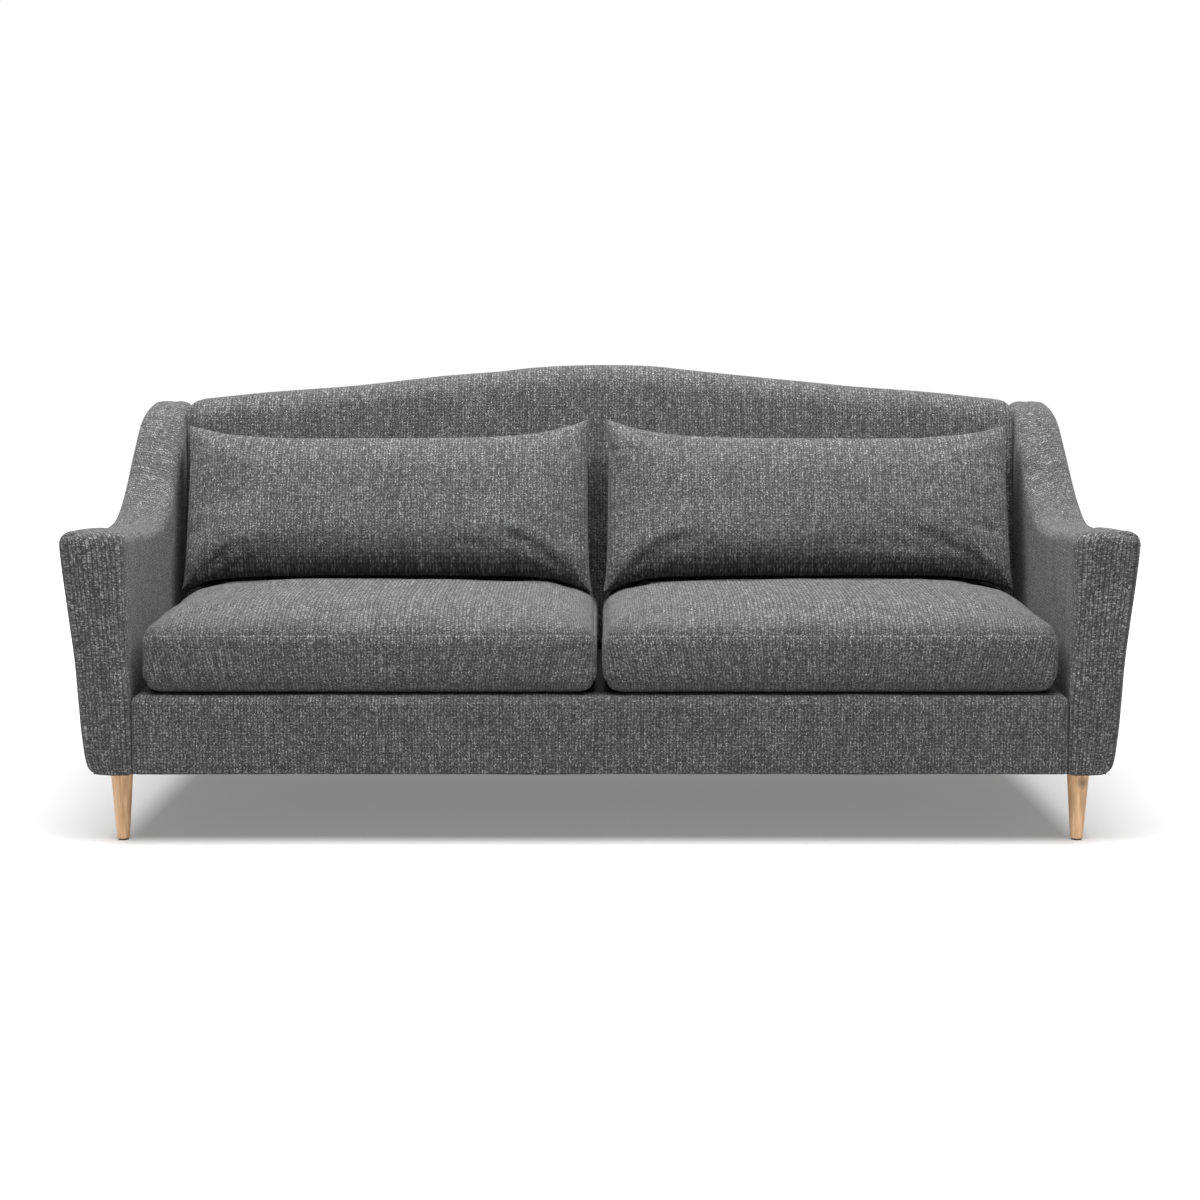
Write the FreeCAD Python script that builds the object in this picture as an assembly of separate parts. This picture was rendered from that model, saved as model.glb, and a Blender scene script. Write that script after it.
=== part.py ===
"""A sofa with swept arms, four loose cushions and turned wooden legs, built as a real one is: timber frame, springs,
padding, covers and fittings. Millimetres, +Z up, the front faces -Y, and the origin is on the floor under the middle."""

import FreeCAD
import Part
import math
import os
from FreeCAD import Vector

# Overall
FRONT = -460.0  # the arms' front face
REAR_AT_TOP = 460.0  # the back's rear face at the crest
BACK_HEIGHT = 918.0  # the crest of the back
BASE_BOTTOM = 139.0  # the underside of the upholstery
BORDER_TOP = 297.0  # the top of the upholstered front rail

# Materials
CLOTH = 2.0
FOAM = 14.0
PLY = 12.0
TIMBER = 28.0

# Arms, as half-widths from the middle
ARM_INNER = 917.0
ARM_INNER_LEAN = 0.012
ARM_FLARE = [(1008, 139), (1017, 260), (1030, 420), (1048, 570), (1052, 700), (1052, 900)]
ARM_TAPER = 0.030  # how far the outer face runs in, per mm towards the rear
ARM_TOP = [(FRONT, 620), (-290, 612), (-120, 598), (20, 613), (130, 664), (240, 744), (330, 808), (430, 834)]
ARM_REAR_TOP = 837.0
ARM_EDGE = 28.0  # radius of the arm's top edges
ARM_END_EDGE = 8.0  # radius round the arm's front and rear faces
ARM_RAIL = 45.0  # width of the arm's posts and top rail
ARM_BOTTOM_RAIL = 70.0

# Back
REAR_LEAN = 0.0617
BACK_FRONT_FOOT = (210.0, 299.0)
BACK_FRONT_LEAN = 0.198
CAMEL = [(0, 918), (90, 916), (210, 907), (420, 887), (660, 864), (880, 845), (930, 838)]
BACK_EDGE = 40.0
BACK_SEAM_DROP = 48.0  # how far below the crest the outside back begins
BACK_SLAB = 28.0
BACK_POST_X = 850.0
BACK_POST_WIDTH = 46.0
BACK_TOP_RAIL = 90.0
BACK_UPRIGHT_X = 300.0
STRAP_WIDTH = 50.0
STRAP_THICKNESS = 1.6

# Seat frame
FRAME_BOTTOM = 145.0
RAIL_TOP = 262.0
FRONT_RAIL_Y = -434.0
REAR_RAIL_Y = 350.0
RAIL_HALF_LENGTH = 932.0
BRACE_TOP = 250.0
PAD_BOTTOM = 271.0
DECK_TOP = 296.0
BORDER_FRONT = -456.0
BORDER_REAR = -392.0
BORDER_EDGE = 16.0
PULL_THROUGH_TOP = 286.0  # below this the arms' inner padding stops at the side rails

# Springs
SPRINGS_PER_SEAT = 7
SPRING_PITCH = 127.0
SPRING_WIRE = 1.9
SPRING_HALF_WIDTH = 24.0
SPRING_BEND = 12.5
SPRING_FRONT_Y = -420.0
SPRING_RUNGS = 32
CLIP_WIDTH = 26.0
CLIP_SHEET = 1.2
WIRE_CORNERS = [math.radians(60 * i) for i in range(6)]  # drawn wire, taken as six-sided
TIE_WIRE = 1.6
TIE_WIRE_Y = (-170.0, 105.0)

# Legs
LEG_FRONT = (948.0, -395.0)
LEG_REAR = (927.0, 345.0)
LEG_TOP = 142.0
LEG_TOP_RADIUS = 22.8
LEG_FOOT_RADIUS = 12.6
GLIDE_HEIGHT = 3.0
GLIDE_RADIUS = 10.5
BOLT_RADIUS = 4.0
BOLT_BELOW = 34.0
BOLT_ABOVE = 26.0
PLATE_SIDE = 60.0
PLATE_THICKNESS = 3.0
PLATE_SCREW_OFFSET = 20.0
SCREW_RADIUS = 2.0
SCREW_HEAD_RADIUS = 4.0
SCREW_LENGTH = 22.0
NUT_RADIUS = 7.0
NUT_HEIGHT = 8.0

# Seat cushions
SEAT_INNER_X = 3.0
SEAT_OUTER_X = 901.0
SEAT_FRONT = -455.0
SEAT_REAR = 196.0
SEAT_BOTTOM = 297.5
SEAT_TOP = 466.0
SEAT_TOP_EDGE = 38.0  # radius of the edges round its top
SEAT_BOTTOM_EDGE = 20.0
SEAT_CORNER = 40.0
SEAT_WADDING = 16.0
SEAT_ZIP_Z = 370.0

# Back cushions
PILLOW_INNER_X = 20.0
PILLOW_OUTER_X = 905.0
PILLOW_LENGTH = 372.0
PILLOW_THICKNESS = 184.0
PILLOW_RIM = 9.0
PILLOW_BULGE = 0.42  # how far up the thickest place is
PILLOW_FOOT = (106.0, 477.0)
PILLOW_LEAN = 18.0
PILLOW_WADDING = 14.0

# Zips
ZIP_TAPE = (0.8, 12.0)
ZIP_CHAIN = (1.6, 4.0)
ZIP_END_GAP = 90.0
SLIDER = (11.0, 8.0, 4.4)  # along the zip, across it, and out from the tape
SLIDER_GAP = 0.3
PULL = (24.0, 5.0, 1.0)

# Frame bolts
FRAME_BOLT_Y = (-280.0, 20.0, 300.0)
FRAME_BOLT_Z = 185.0
FRAME_BOLT_HEAD = (6.5, 5.0)
BACK_BOLT_Z = (175.0, 235.0)

FAR = 1500.0  # past every face of the sofa


def box(x0, x1, y0, y1, z0, z1):
    return Part.makeBox(x1 - x0, y1 - y0, z1 - z0, Vector(x0, y0, z0))


def polyline(points):
    """The straight edges through a list of points, left open."""
    return [Part.makeLine(a, b) for a, b in zip(points, points[1:])]


def spline(points):
    curve = Part.BSplineCurve()
    curve.interpolate(points)
    return curve.toShape()


def solid_of(edges, direction, inset=0.0):
    """The closed outline of these edges, drawn in by inset and run along direction."""
    wire = Part.Wire(Part.__sortEdges__(edges))
    if inset:
        wire = wire.makeOffset2D(-inset, 2, False, False)
    return Part.Face(wire).extrude(direction)


def group(solids):
    return Part.makeCompound(solids)


def mirrored(shape):
    return shape.mirror(Vector(0, 0, 0), Vector(1, 0, 0))


def rod(start, end, radius):
    return Part.makeCylinder(radius, (end - start).Length, start, end - start)


def looks_along(face):
    """The direction a face looks in at its middle."""
    u0, u1, v0, v1 = face.ParameterRange
    return face.normalAt((u0 + u1) / 2, (v0 + v1) / 2)


def face_towards(shape, way):
    """The largest face that looks along a direction."""
    return max((f for f in shape.Faces if looks_along(f).dot(way) > 0.75), key=lambda f: f.Area)


def rounded(shape, jobs):
    """Rounds the edge between each pair of faces, named by the two directions they look in."""
    for one, other, radius in jobs:
        a, b = face_towards(shape, Vector(*one)), face_towards(shape, Vector(*other))
        edges = [e for e in a.Edges if any(e.isSame(g) for g in b.Edges)]
        shape = shape.makeFillet(radius, edges)
    return shape


def inner_x(z):
    """Half the width between the arms at height z."""
    return ARM_INNER + ARM_INNER_LEAN * (z - BASE_BOTTOM)


def rear_y(z):
    """The leaning plane of the sofa's rear."""
    return REAR_AT_TOP - REAR_LEAN * (BACK_HEIGHT - BACK_EDGE - z)


def between_arms(gap, z0, z1):
    """Everything between the arms' inner faces, kept gap away from them."""
    low, high = inner_x(z0) - gap, inner_x(z1) - gap
    corners = [Vector(-low, -FAR, z0), Vector(low, -FAR, z0), Vector(high, -FAR, z1), Vector(-high, -FAR, z1)]
    return solid_of(polyline(corners + corners[:1]), Vector(0, 2 * FAR, 0))


# Arms. The right arm is modelled, and the left one is its mirror image.


def arm_side(inset, bottom):
    """The arm's outline from the side, run right across the sofa."""
    front, rear = FRONT + inset, rear_y(ARM_REAR_TOP) - inset
    between = [(y, z) for y, z in ARM_TOP if front < y < rear - 20]
    top = [Vector(0, y, z - inset) for y, z in [(front, ARM_TOP[0][1])] + between + [(rear, ARM_REAR_TOP)]]
    foot = [top[-1], Vector(0, rear_y(bottom) - inset, bottom), Vector(0, front, bottom), top[0]]
    return solid_of([spline(top)] + polyline(foot), Vector(FAR, 0, 0))


def arm_outer(inset):
    """Everything inside the arm's flared outer face."""
    flare = [Vector(x - inset, FRONT, z) for x, z in [(ARM_FLARE[0][0], 100)] + ARM_FLARE[1:]]
    edges = [spline(flare)] + polyline([flare[-1], Vector(0, FRONT, flare[-1].z), Vector(0, FRONT, flare[0].z), flare[0]])
    length = REAR_AT_TOP - FRONT + 20
    return solid_of(edges, Vector(-ARM_TAPER * length, length, 0))


def arm_inner(inset, z0=100.0, z1=900.0):
    """Everything outside the arm's inner face."""
    corners = [
        Vector(inner_x(z0) + inset, -FAR, z0),
        Vector(FAR, -FAR, z0),
        Vector(FAR, -FAR, z1),
        Vector(inner_x(z1) + inset, -FAR, z1),
    ]
    return solid_of(polyline(corners + corners[:1]), Vector(0, 2 * FAR, 0))


def arm_block(inset, bottom, inner=None, outer=None):
    inner = inset if inner is None else inner
    outer = inset if outer is None else outer
    return arm_side(inset, bottom).common(arm_outer(outer)).common(arm_inner(inner))


def arm_body(inset, bottom):
    """The arm's upholstered shape, with its edges rounded."""
    up, out, into, front, back = (0, 0, 1), (1, 0, 0), (-1, 0, 0), (0, -1, 0), (0, 1, 0)
    along = [(up, out, ARM_EDGE - inset), (up, into, ARM_EDGE - inset)]
    end_edge = ARM_END_EDGE - inset
    return rounded(arm_block(inset, bottom), along + [(front, out, end_edge), (back, out, end_edge)])


def pull_through():
    """Where the seat's side rail meets the arm, under the deck."""
    return box(ARM_INNER - 20, inner_x(PULL_THROUGH_TOP) + CLOTH + FOAM, -440, 405, 100, PULL_THROUGH_TOP)


def arm_core():
    return arm_block(CLOTH + FOAM, FRAME_BOTTOM)


def arm_parts():
    """The right arm's pieces, by name."""
    skin = CLOTH + FOAM
    covered = arm_body(CLOTH, 100)
    under = box(0, FAR, -FAR, FAR, 0, BASE_BOTTOM + CLOTH)
    cover = arm_body(0, BASE_BOTTOM).cut(covered).cut(under).cut(pull_through())
    core = arm_block(skin, 100)
    padding = covered.cut(core).cut(box(0, FAR, -FAR, FAR, 0, FRAME_BOTTOM)).cut(pull_through())
    timber = core.cut(box(0, FAR, -FAR, FAR, 0, FRAME_BOTTOM))
    inner_panel = timber.cut(arm_inner(skin + PLY))
    outer_panel = timber.cut(arm_outer(skin + PLY))
    middle = timber.common(arm_inner(skin + PLY)).common(arm_outer(skin + PLY))
    rail_top = FRAME_BOTTOM + ARM_BOTTOM_RAIL
    bottom_rail = middle.common(box(0, FAR, -FAR, FAR, 0, rail_top))
    ring = middle.cut(bottom_rail).cut(arm_side(skin + ARM_RAIL, 0))
    low_front = box(0, FAR, -FAR, FRONT + skin + ARM_RAIL, 0, ARM_TOP[0][1] - skin - ARM_RAIL)
    low_rear = box(0, FAR, rear_y(rail_top) - skin - ARM_RAIL - 10, FAR, 0, ARM_REAR_TOP - skin - 2 * ARM_RAIL)
    top_rail = ring.cut(low_front).cut(low_rear)
    posts = ring.cut(top_rail)
    return {
        "arm_cover": cover,
        "arm_padding": padding,
        "arm_inner_panel": inner_panel,
        "arm_outer_panel": outer_panel,
        "arm_rails": group(bottom_rail.Solids + top_rail.Solids),
        "arm_posts": posts,
    }


# Back


def camel(inset, z0):
    """The back's outline from the front, with its gently arched top, run through the sofa."""
    half = [Vector(x, -FAR, z - inset) for x, z in CAMEL]
    top = [Vector(-p.x, p.y, p.z) for p in reversed(half[1:])] + half
    foot = [top[-1], Vector(top[-1].x, -FAR, z0), Vector(top[0].x, -FAR, z0), top[0]]
    return solid_of([spline(top)] + polyline(foot), Vector(0, 2 * FAR, 0))


def back_front_y(z):
    return BACK_FRONT_FOOT[0] + BACK_FRONT_LEAN * (z - BACK_FRONT_FOOT[1])


def back_section(inset, z0):
    """The back's section from the side, run right across the sofa."""
    high = BACK_HEIGHT + 40
    corners = [
        Vector(-FAR, back_front_y(z0) + inset, z0),
        Vector(-FAR, rear_y(z0) - inset, z0),
        Vector(-FAR, rear_y(high) - inset, high),
        Vector(-FAR, back_front_y(high) + inset, high),
    ]
    return solid_of(polyline(corners + corners[:1]), Vector(2 * FAR, 0, 0))


def back_body(inset, z0):
    raw = back_section(inset, z0).common(camel(inset, z0)).common(between_arms(0.5 + inset, z0, 1000))
    up, front, back = (0, 0, 1), (0, -1, 0), (0, 1, 0)
    return rounded(raw, [(up, front, BACK_EDGE - inset), (up, back, BACK_EDGE - inset)])


def leaning_slab(near, far, z0, z1):
    """A slab along the rear plane, from near to far millimetres in front of it."""
    corners = [
        Vector(-FAR, rear_y(z0) - far, z0),
        Vector(-FAR, rear_y(z0) - near, z0),
        Vector(-FAR, rear_y(z1) - near, z1),
        Vector(-FAR, rear_y(z1) - far, z1),
    ]
    return solid_of(polyline(corners + corners[:1]), Vector(2 * FAR, 0, 0))


def back_parts():
    foot = BACK_FRONT_FOOT[1]
    slab_near = CLOTH + 2
    slab_far = slab_near + BACK_SLAB
    rim = CLOTH + 18
    drop = BACK_EDGE - CLOTH  # the frame's top stays below the rounding of the crest
    webbed = slab_far + 2 * STRAP_THICKNESS
    seam = camel(BACK_SEAM_DROP, foot - 200)
    rear_open = leaning_slab(-30, CLOTH + 12, 0, 1000).common(seam)
    inside = back_body(CLOTH, foot - 20)
    cover = back_body(0, foot).cut(inside).cut(rear_open)
    hollow = leaning_slab(-30, webbed, foot - 60, 1000).common(camel(drop, foot - 60)).common(between_arms(rim, 200, 1000))
    padding = inside.common(box(-FAR, FAR, -FAR, FAR, foot, FAR)).cut(hollow).cut(rear_open)
    outside = leaning_slab(0, CLOTH, BASE_BOTTOM + CLOTH, 1000).common(seam)
    outside = outside.common(between_arms(0.5, 100, 1000))

    slab = leaning_slab(slab_near, slab_far, FRAME_BOTTOM, 1000).common(camel(drop, 100))
    outer_post = (BACK_POST_X, BACK_POST_X + BACK_POST_WIDTH)
    upright = (BACK_UPRIGHT_X - BACK_POST_WIDTH / 2, BACK_UPRIGHT_X + BACK_POST_WIDTH / 2)
    under_top_rail = camel(drop + BACK_TOP_RAIL, 100)
    packer = box(-FAR, FAR, REAR_RAIL_Y + TIMBER, rear_y(FRAME_BOTTOM) - slab_far + 8, FRAME_BOTTOM, RAIL_TOP)
    posts = []
    for x0, x1 in (outer_post, upright):
        post = slab.common(under_top_rail).fuse(packer).removeSplitter().common(box(x0, x1, 0, FAR, 0, FAR))
        posts += [post, mirrored(post)]
    top_rail = slab.cut(under_top_rail).common(box(-outer_post[1], outer_post[1], 0, FAR, 0, FAR))
    lower = slab.common(box(-BACK_POST_X, BACK_POST_X, 0, FAR, foot + 30, foot + 100))
    for x0, x1 in (upright, (-upright[1], -upright[0])):
        lower = lower.cut(box(x0, x1, 0, FAR, 0, FAR))
    return {
        "back_cover": cover,
        "back_padding": padding,
        "outside_back_cover": outside,
        "back_posts": group(posts),
        "back_top_rail": top_rail,
        "back_lower_rail": lower,
        "back_webbing": back_webbing(slab_far, drop, foot),
    }


def back_webbing(near, drop, foot):
    """Upright straps on the frame, with two level straps across them."""
    straps = []
    first = leaning_slab(near, near + STRAP_THICKNESS, foot + 30, 1000).common(camel(drop + 30, 100))
    for x in (-720, -540, -180, 0, 180, 540, 720):
        straps.append(first.common(box(x - STRAP_WIDTH / 2, x + STRAP_WIDTH / 2, 0, FAR, 0, FAR)))
    second = leaning_slab(near + STRAP_THICKNESS, near + 2 * STRAP_THICKNESS, 0, 1000)
    for z in (500, 650):
        straps.append(second.common(box(-890, 890, 0, FAR, z - STRAP_WIDTH / 2, z + STRAP_WIDTH / 2)))
    return group(straps)


# Seat frame and deck


def seat_parts():
    rear = REAR_RAIL_Y
    front = FRONT_RAIL_Y
    half = RAIL_HALF_LENGTH
    side = box(half - TIMBER, half, front + TIMBER, rear, FRAME_BOTTOM, RAIL_TOP)
    deck_span = between_arms(1.5, 200, 400)
    deck_front = BORDER_REAR + 0.5
    pad = box(-FAR, FAR, deck_front, rear + TIMBER, PAD_BOTTOM, DECK_TOP - CLOTH)
    cloth = box(-FAR, FAR, deck_front, rear + TIMBER, DECK_TOP - CLOTH, DECK_TOP)
    return {
        "front_rail": box(-half, half, front, front + TIMBER, FRAME_BOTTOM, RAIL_TOP),
        "rear_rail": box(-half, half, rear, rear + TIMBER, FRAME_BOTTOM, RAIL_TOP),
        "seat_side_rail_right": side,
        "seat_side_rail_left": mirrored(side),
        "seat_center_brace": box(-TIMBER / 2, TIMBER / 2, front + TIMBER, rear, FRAME_BOTTOM, BRACE_TOP),
        "corner_blocks": corner_blocks(),
        "deck_pad": pad.common(deck_span),
        "deck_cover": cloth.common(deck_span),
        "dust_cover": dust_cover(),
        **border_parts(),
    }


def corner_blocks():
    """Triangular blocks glued into the seat frame's four inner corners."""
    reach = 95.0
    inner = RAIL_HALF_LENGTH - TIMBER
    blocks = []
    for y, way in ((FRONT_RAIL_Y + TIMBER, 1), (REAR_RAIL_Y, -1)):
        corner = Vector(inner, y, FRAME_BOTTOM + 8)
        ends = [corner, corner + Vector(-reach, 0, 0), corner + Vector(0, way * reach, 0), corner]
        block = solid_of(polyline(ends), Vector(0, 0, 60))
        blocks += [block, mirrored(block)]
    return group(blocks)


def border_body(inset, bottom):
    gap = 0.5 + inset
    raw = box(-FAR, FAR, BORDER_FRONT + inset, BORDER_REAR - inset, bottom, BORDER_TOP - inset)
    raw = raw.common(between_arms(gap, bottom, 400))
    up, front = (0, 0, 1), (0, -1, 0)
    jobs = [(up, front, BORDER_EDGE - inset), (up, (1, 0, 0), BORDER_EDGE - inset), (up, (-1, 0, 0), BORDER_EDGE - inset)]
    return rounded(raw, jobs)


def border_parts():
    """The padded and covered face of the front rail."""
    inside = border_body(CLOTH, 100)
    above = box(-FAR, FAR, -FAR, FAR, BASE_BOTTOM + CLOTH, FAR)
    behind = box(-FAR, FAR, BORDER_REAR - CLOTH - 1, FAR, 0, DECK_TOP - CLOTH)
    cover = border_body(0, BASE_BOTTOM + CLOTH).cut(inside).cut(behind)
    rail = box(-FAR, FAR, FRONT_RAIL_Y, FAR, 0, PAD_BOTTOM)
    # the front rail's ends run on into the arms' pull-through
    ends = box(-FAR, FAR, -440, FAR, 0, PULL_THROUGH_TOP).cut(between_arms(6, 50, 400))
    padding = inside.common(above).cut(rail)
    return {"front_border_cover": cover.cut(ends), "front_border_padding": padding}


def dust_cover():
    """The cloth under the sofa, with an opening round each leg."""
    front, rear = FRONT + 10, rear_y(BASE_BOTTOM) - 3
    wide = ARM_FLARE[0][0] - 12
    narrow = wide - ARM_TAPER * (rear - front)
    z = BASE_BOTTOM
    corners = [Vector(-wide, front, z), Vector(wide, front, z), Vector(narrow, rear, z), Vector(-narrow, rear, z)]
    sheet = solid_of(polyline(corners + corners[:1]), Vector(0, 0, CLOTH))
    for x, y in leg_places().values():
        sheet = sheet.cut(rod(Vector(x, y, 100), Vector(x, y, 200), LEG_TOP_RADIUS + 0.5))
    return sheet


# Springs


def spring_places():
    first = SPRING_PITCH * 0.5
    right = [first + SPRING_PITCH * i for i in range(SPRINGS_PER_SEAT)]
    return sorted([-x for x in right] + right)


def spring_level():
    return RAIL_TOP + CLIP_SHEET + SPRING_WIRE + 0.1


def sinuous_spring(x):
    """One zig-zag wire spring, running from the front rail to the rear rail."""
    z, half, bend = spring_level(), SPRING_HALF_WIDTH - SPRING_BEND, SPRING_BEND
    path = []
    for i in range(SPRING_RUNGS):
        y = SPRING_FRONT_Y + 2 * bend * i
        way = 1 if i % 2 == 0 else -1
        path += [Vector(x - way * half, y, z), Vector(x + way * half, y, z)]
        if i < SPRING_RUNGS - 1:
            turns = [math.radians(45 * k) for k in range(1, 4)]
            path += [Vector(x + way * (half + bend * math.sin(t)), y + bend - bend * math.cos(t), z) for t in turns]
    section = [path[0] + Vector(0, SPRING_WIRE * math.cos(t), SPRING_WIRE * math.sin(t)) for t in WIRE_CORNERS]
    wire = Part.Wire(polyline(section + section[:1]))
    return Part.Wire(polyline(path)).makePipeShell([wire], True, False, 1)


def spring_clip(x, y):
    """A sheet steel clip screwed to the rail, curled over the spring's last rung."""
    z = spring_level()
    inner = SPRING_WIRE + 0.1
    outer = inner + CLIP_SHEET
    low = Vector(x - CLIP_WIDTH / 2, y, z)
    across = Vector(CLIP_WIDTH, 0, 0)
    curl = rod(low, low + across, outer).cut(rod(low, low + across, inner))
    curl = curl.cut(box(x - 50, x + 50, y, y + 50, z - 50, z))
    foot = box(low.x, low.x + CLIP_WIDTH, y, y + 10, RAIL_TOP, RAIL_TOP + CLIP_SHEET)
    return curl.fuse(foot).removeSplitter()


def spring_parts():
    rear_y_end = SPRING_FRONT_Y + 2 * SPRING_BEND * (SPRING_RUNGS - 1)
    springs, clips = [], []
    for x in spring_places():
        springs.append(sinuous_spring(x))
        front_clip = spring_clip(x, SPRING_FRONT_Y)
        rear_clip = spring_clip(x, rear_y_end)
        middle = Vector(x, rear_y_end, 0)
        clips += [front_clip, rear_clip.rotate(middle, Vector(0, 0, 1), 180) or rear_clip]
    z = spring_level() + SPRING_WIRE + TIE_WIRE + 0.05
    half = RAIL_HALF_LENGTH - TIMBER
    ties = [rod(Vector(-half, y, z), Vector(half, y, z), TIE_WIRE) for y in TIE_WIRE_Y]
    return {"seat_springs": group(springs), "spring_clips": group(clips), "spring_tie_wires": group(ties)}


# Legs and their fittings


def leg_places():
    return {
        "leg_front_left": (-LEG_FRONT[0], LEG_FRONT[1]),
        "leg_front_right": LEG_FRONT,
        "leg_rear_left": (-LEG_REAR[0], LEG_REAR[1]),
        "leg_rear_right": LEG_REAR,
    }


def turned_leg(x, y):
    """A round tapered leg with softened ends, bored for its hanger bolt and its glide's pin."""
    profile = [
        Vector(0, 0, GLIDE_HEIGHT),
        Vector(LEG_FOOT_RADIUS - 1.2, 0, GLIDE_HEIGHT),
        Vector(LEG_FOOT_RADIUS, 0, GLIDE_HEIGHT + 1.6),
        Vector(LEG_TOP_RADIUS - 1.4, 0, LEG_TOP - 14),
        Vector(LEG_TOP_RADIUS, 0, LEG_TOP - 5),
        Vector(LEG_TOP_RADIUS, 0, LEG_TOP),
        Vector(0, 0, LEG_TOP),
    ]
    face = Part.Face(Part.Wire(polyline(profile + profile[:1])))
    leg = face.revolve(Vector(0, 0, 0), Vector(0, 0, 1), 360)
    leg = leg.cut(rod(Vector(0, 0, LEG_TOP - BOLT_BELOW), Vector(0, 0, LEG_TOP), BOLT_RADIUS))
    leg = leg.cut(rod(Vector(0, 0, GLIDE_HEIGHT), Vector(0, 0, GLIDE_HEIGHT + 14), 1.5))
    return leg.translate(Vector(x, y, 0)) or leg


def glide(x, y):
    """A nylon nail-on glide under the leg, with its pin."""
    foot = rod(Vector(x, y, 0), Vector(x, y, GLIDE_HEIGHT), GLIDE_RADIUS)
    return foot.fuse(rod(Vector(x, y, GLIDE_HEIGHT - 1), Vector(x, y, GLIDE_HEIGHT + 14), 1.5)).removeSplitter()


def hanger_bolt(x, y):
    return rod(Vector(x, y, LEG_TOP - BOLT_BELOW), Vector(x, y, LEG_TOP + BOLT_ABOVE), BOLT_RADIUS)


def plate_screw_places(x, y):
    d = PLATE_SCREW_OFFSET
    return [(x + sx * d, y + sy * d) for sx in (-1, 1) for sy in (-1, 1)]


def plate_screw(x, y):
    head = Part.makeCone(SCREW_HEAD_RADIUS, SCREW_RADIUS, 2, Vector(x, y, LEG_TOP))
    return head.fuse(rod(Vector(x, y, LEG_TOP + 1), Vector(x, y, LEG_TOP + SCREW_LENGTH), SCREW_RADIUS)).removeSplitter()


def leg_plate(x, y):
    """A steel plate with a threaded boss that takes the leg's bolt."""
    h = PLATE_SIDE / 2
    plate = box(x - h, x + h, y - h, y + h, LEG_TOP, LEG_TOP + PLATE_THICKNESS)
    plate = plate.fuse(rod(Vector(x, y, LEG_TOP), Vector(x, y, LEG_TOP + PLATE_THICKNESS + NUT_HEIGHT), NUT_RADIUS))
    return plate.cut(hanger_bolt(x, y)).removeSplitter()


def leg_parts():
    """The legs and everything that fastens them."""
    bolts, plates, screws, glides, legs = [], [], [], [], {}
    for name, (x, y) in leg_places().items():
        legs[name] = turned_leg(x, y)
        bolts.append(hanger_bolt(x, y))
        screws += [plate_screw(*p) for p in plate_screw_places(x, y)]
        plates.append(leg_plate(x, y))
        glides.append(glide(x, y))
    plates = [p.cut(group(screws)) for p in plates]
    fittings = {
        "leg_hanger_bolts": group(bolts),
        "leg_plates": group(plates),
        "leg_plate_screws": group(screws),
        "leg_glides": group(glides),
    }
    return {**legs, **fittings}


def leg_bores():
    """What the timber above each leg is bored for: the boss, the bolt's end and the screws."""
    tools = []
    for x, y in leg_places().values():
        tools.append(rod(Vector(x, y, LEG_TOP), Vector(x, y, LEG_TOP + PLATE_THICKNESS + NUT_HEIGHT), NUT_RADIUS))
        tools.append(rod(Vector(x, y, LEG_TOP), Vector(x, y, LEG_TOP + BOLT_ABOVE + 2), BOLT_RADIUS + 0.5))
        tools += [plate_screw(*p) for p in plate_screw_places(x, y)]
    return group(tools)


# Frame bolts


def frame_bolt(start, way, length):
    """A bolt with a round head and a washer, its head's outer face at start."""
    radius, height = FRAME_BOLT_HEAD
    head = rod(start, start + way * height, radius)
    washer = rod(start + way * height, start + way * (height + 1.5), radius + 3)
    return head.fuse(washer).fuse(rod(start, start + way * length, BOLT_RADIUS)).removeSplitter()


def frame_bolts():
    """Bolts that hold the arms to the seat's side rails, and the back's posts to the rear rail."""
    height = FRAME_BOLT_HEAD[1] + 1.5
    bolts = []
    for y in FRAME_BOLT_Y:
        start = Vector(RAIL_HALF_LENGTH - TIMBER - height, y, FRAME_BOLT_Z)
        bolt = frame_bolt(start, Vector(1, 0, 0), height + TIMBER + 26)
        bolts += [bolt, mirrored(bolt)]
    for x in (BACK_POST_X + BACK_POST_WIDTH / 2, BACK_UPRIGHT_X):
        for z in BACK_BOLT_Z:
            bolt = frame_bolt(Vector(x, REAR_RAIL_Y - height, z), Vector(0, 1, 0), height + TIMBER + 22)
            bolts += [bolt, mirrored(bolt)]
    return group(bolts)


# Cushions


def seat_block(inset):
    """The right seat cushion, a box with well rounded edges, drawn in by inset."""
    low, high = SEAT_BOTTOM + inset, SEAT_TOP - inset
    block = box(SEAT_INNER_X + inset, SEAT_OUTER_X - inset, SEAT_FRONT + inset, SEAT_REAR - inset, low, high)
    upright = [e for e in block.Edges if abs(e.Vertexes[0].Z - e.Vertexes[-1].Z) > 1]
    block = block.makeFillet(SEAT_CORNER - inset, upright)
    front = (0, -1, 0)
    return rounded(block, [((0, 0, 1), front, SEAT_TOP_EDGE - inset), ((0, 0, -1), front, SEAT_BOTTOM_EDGE - inset)])


def zip_on(length, at, along, across, out):
    """A zip's tape and chain, its slider with a pull, as two shapes. It starts at a point and runs along."""
    tape_t, tape_w = ZIP_TAPE
    chain_t, chain_w = ZIP_CHAIN
    gap = SLIDER_GAP

    def bar(start, size, lift):
        run, wide, thick = size
        corner = at + along * start - across * (wide / 2) + out * lift
        edges = [corner, corner + across * wide, corner + across * wide + out * thick, corner + out * thick, corner]
        return solid_of(polyline(edges), along * run)

    tape = bar(0, (length, tape_w, tape_t), 0)
    chain = bar(0, (length, chain_w, chain_t), tape_t)
    body = bar(4, SLIDER, tape_t + gap).cut(bar(0, (length, chain_w + 2 * gap, chain_t + 2 * gap), tape_t))
    pull = bar(4 + SLIDER[0] - 2, PULL, tape_t + gap + SLIDER[2] - PULL[2])
    return tape.fuse(chain).removeSplitter(), body.fuse(pull).removeSplitter()


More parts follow.
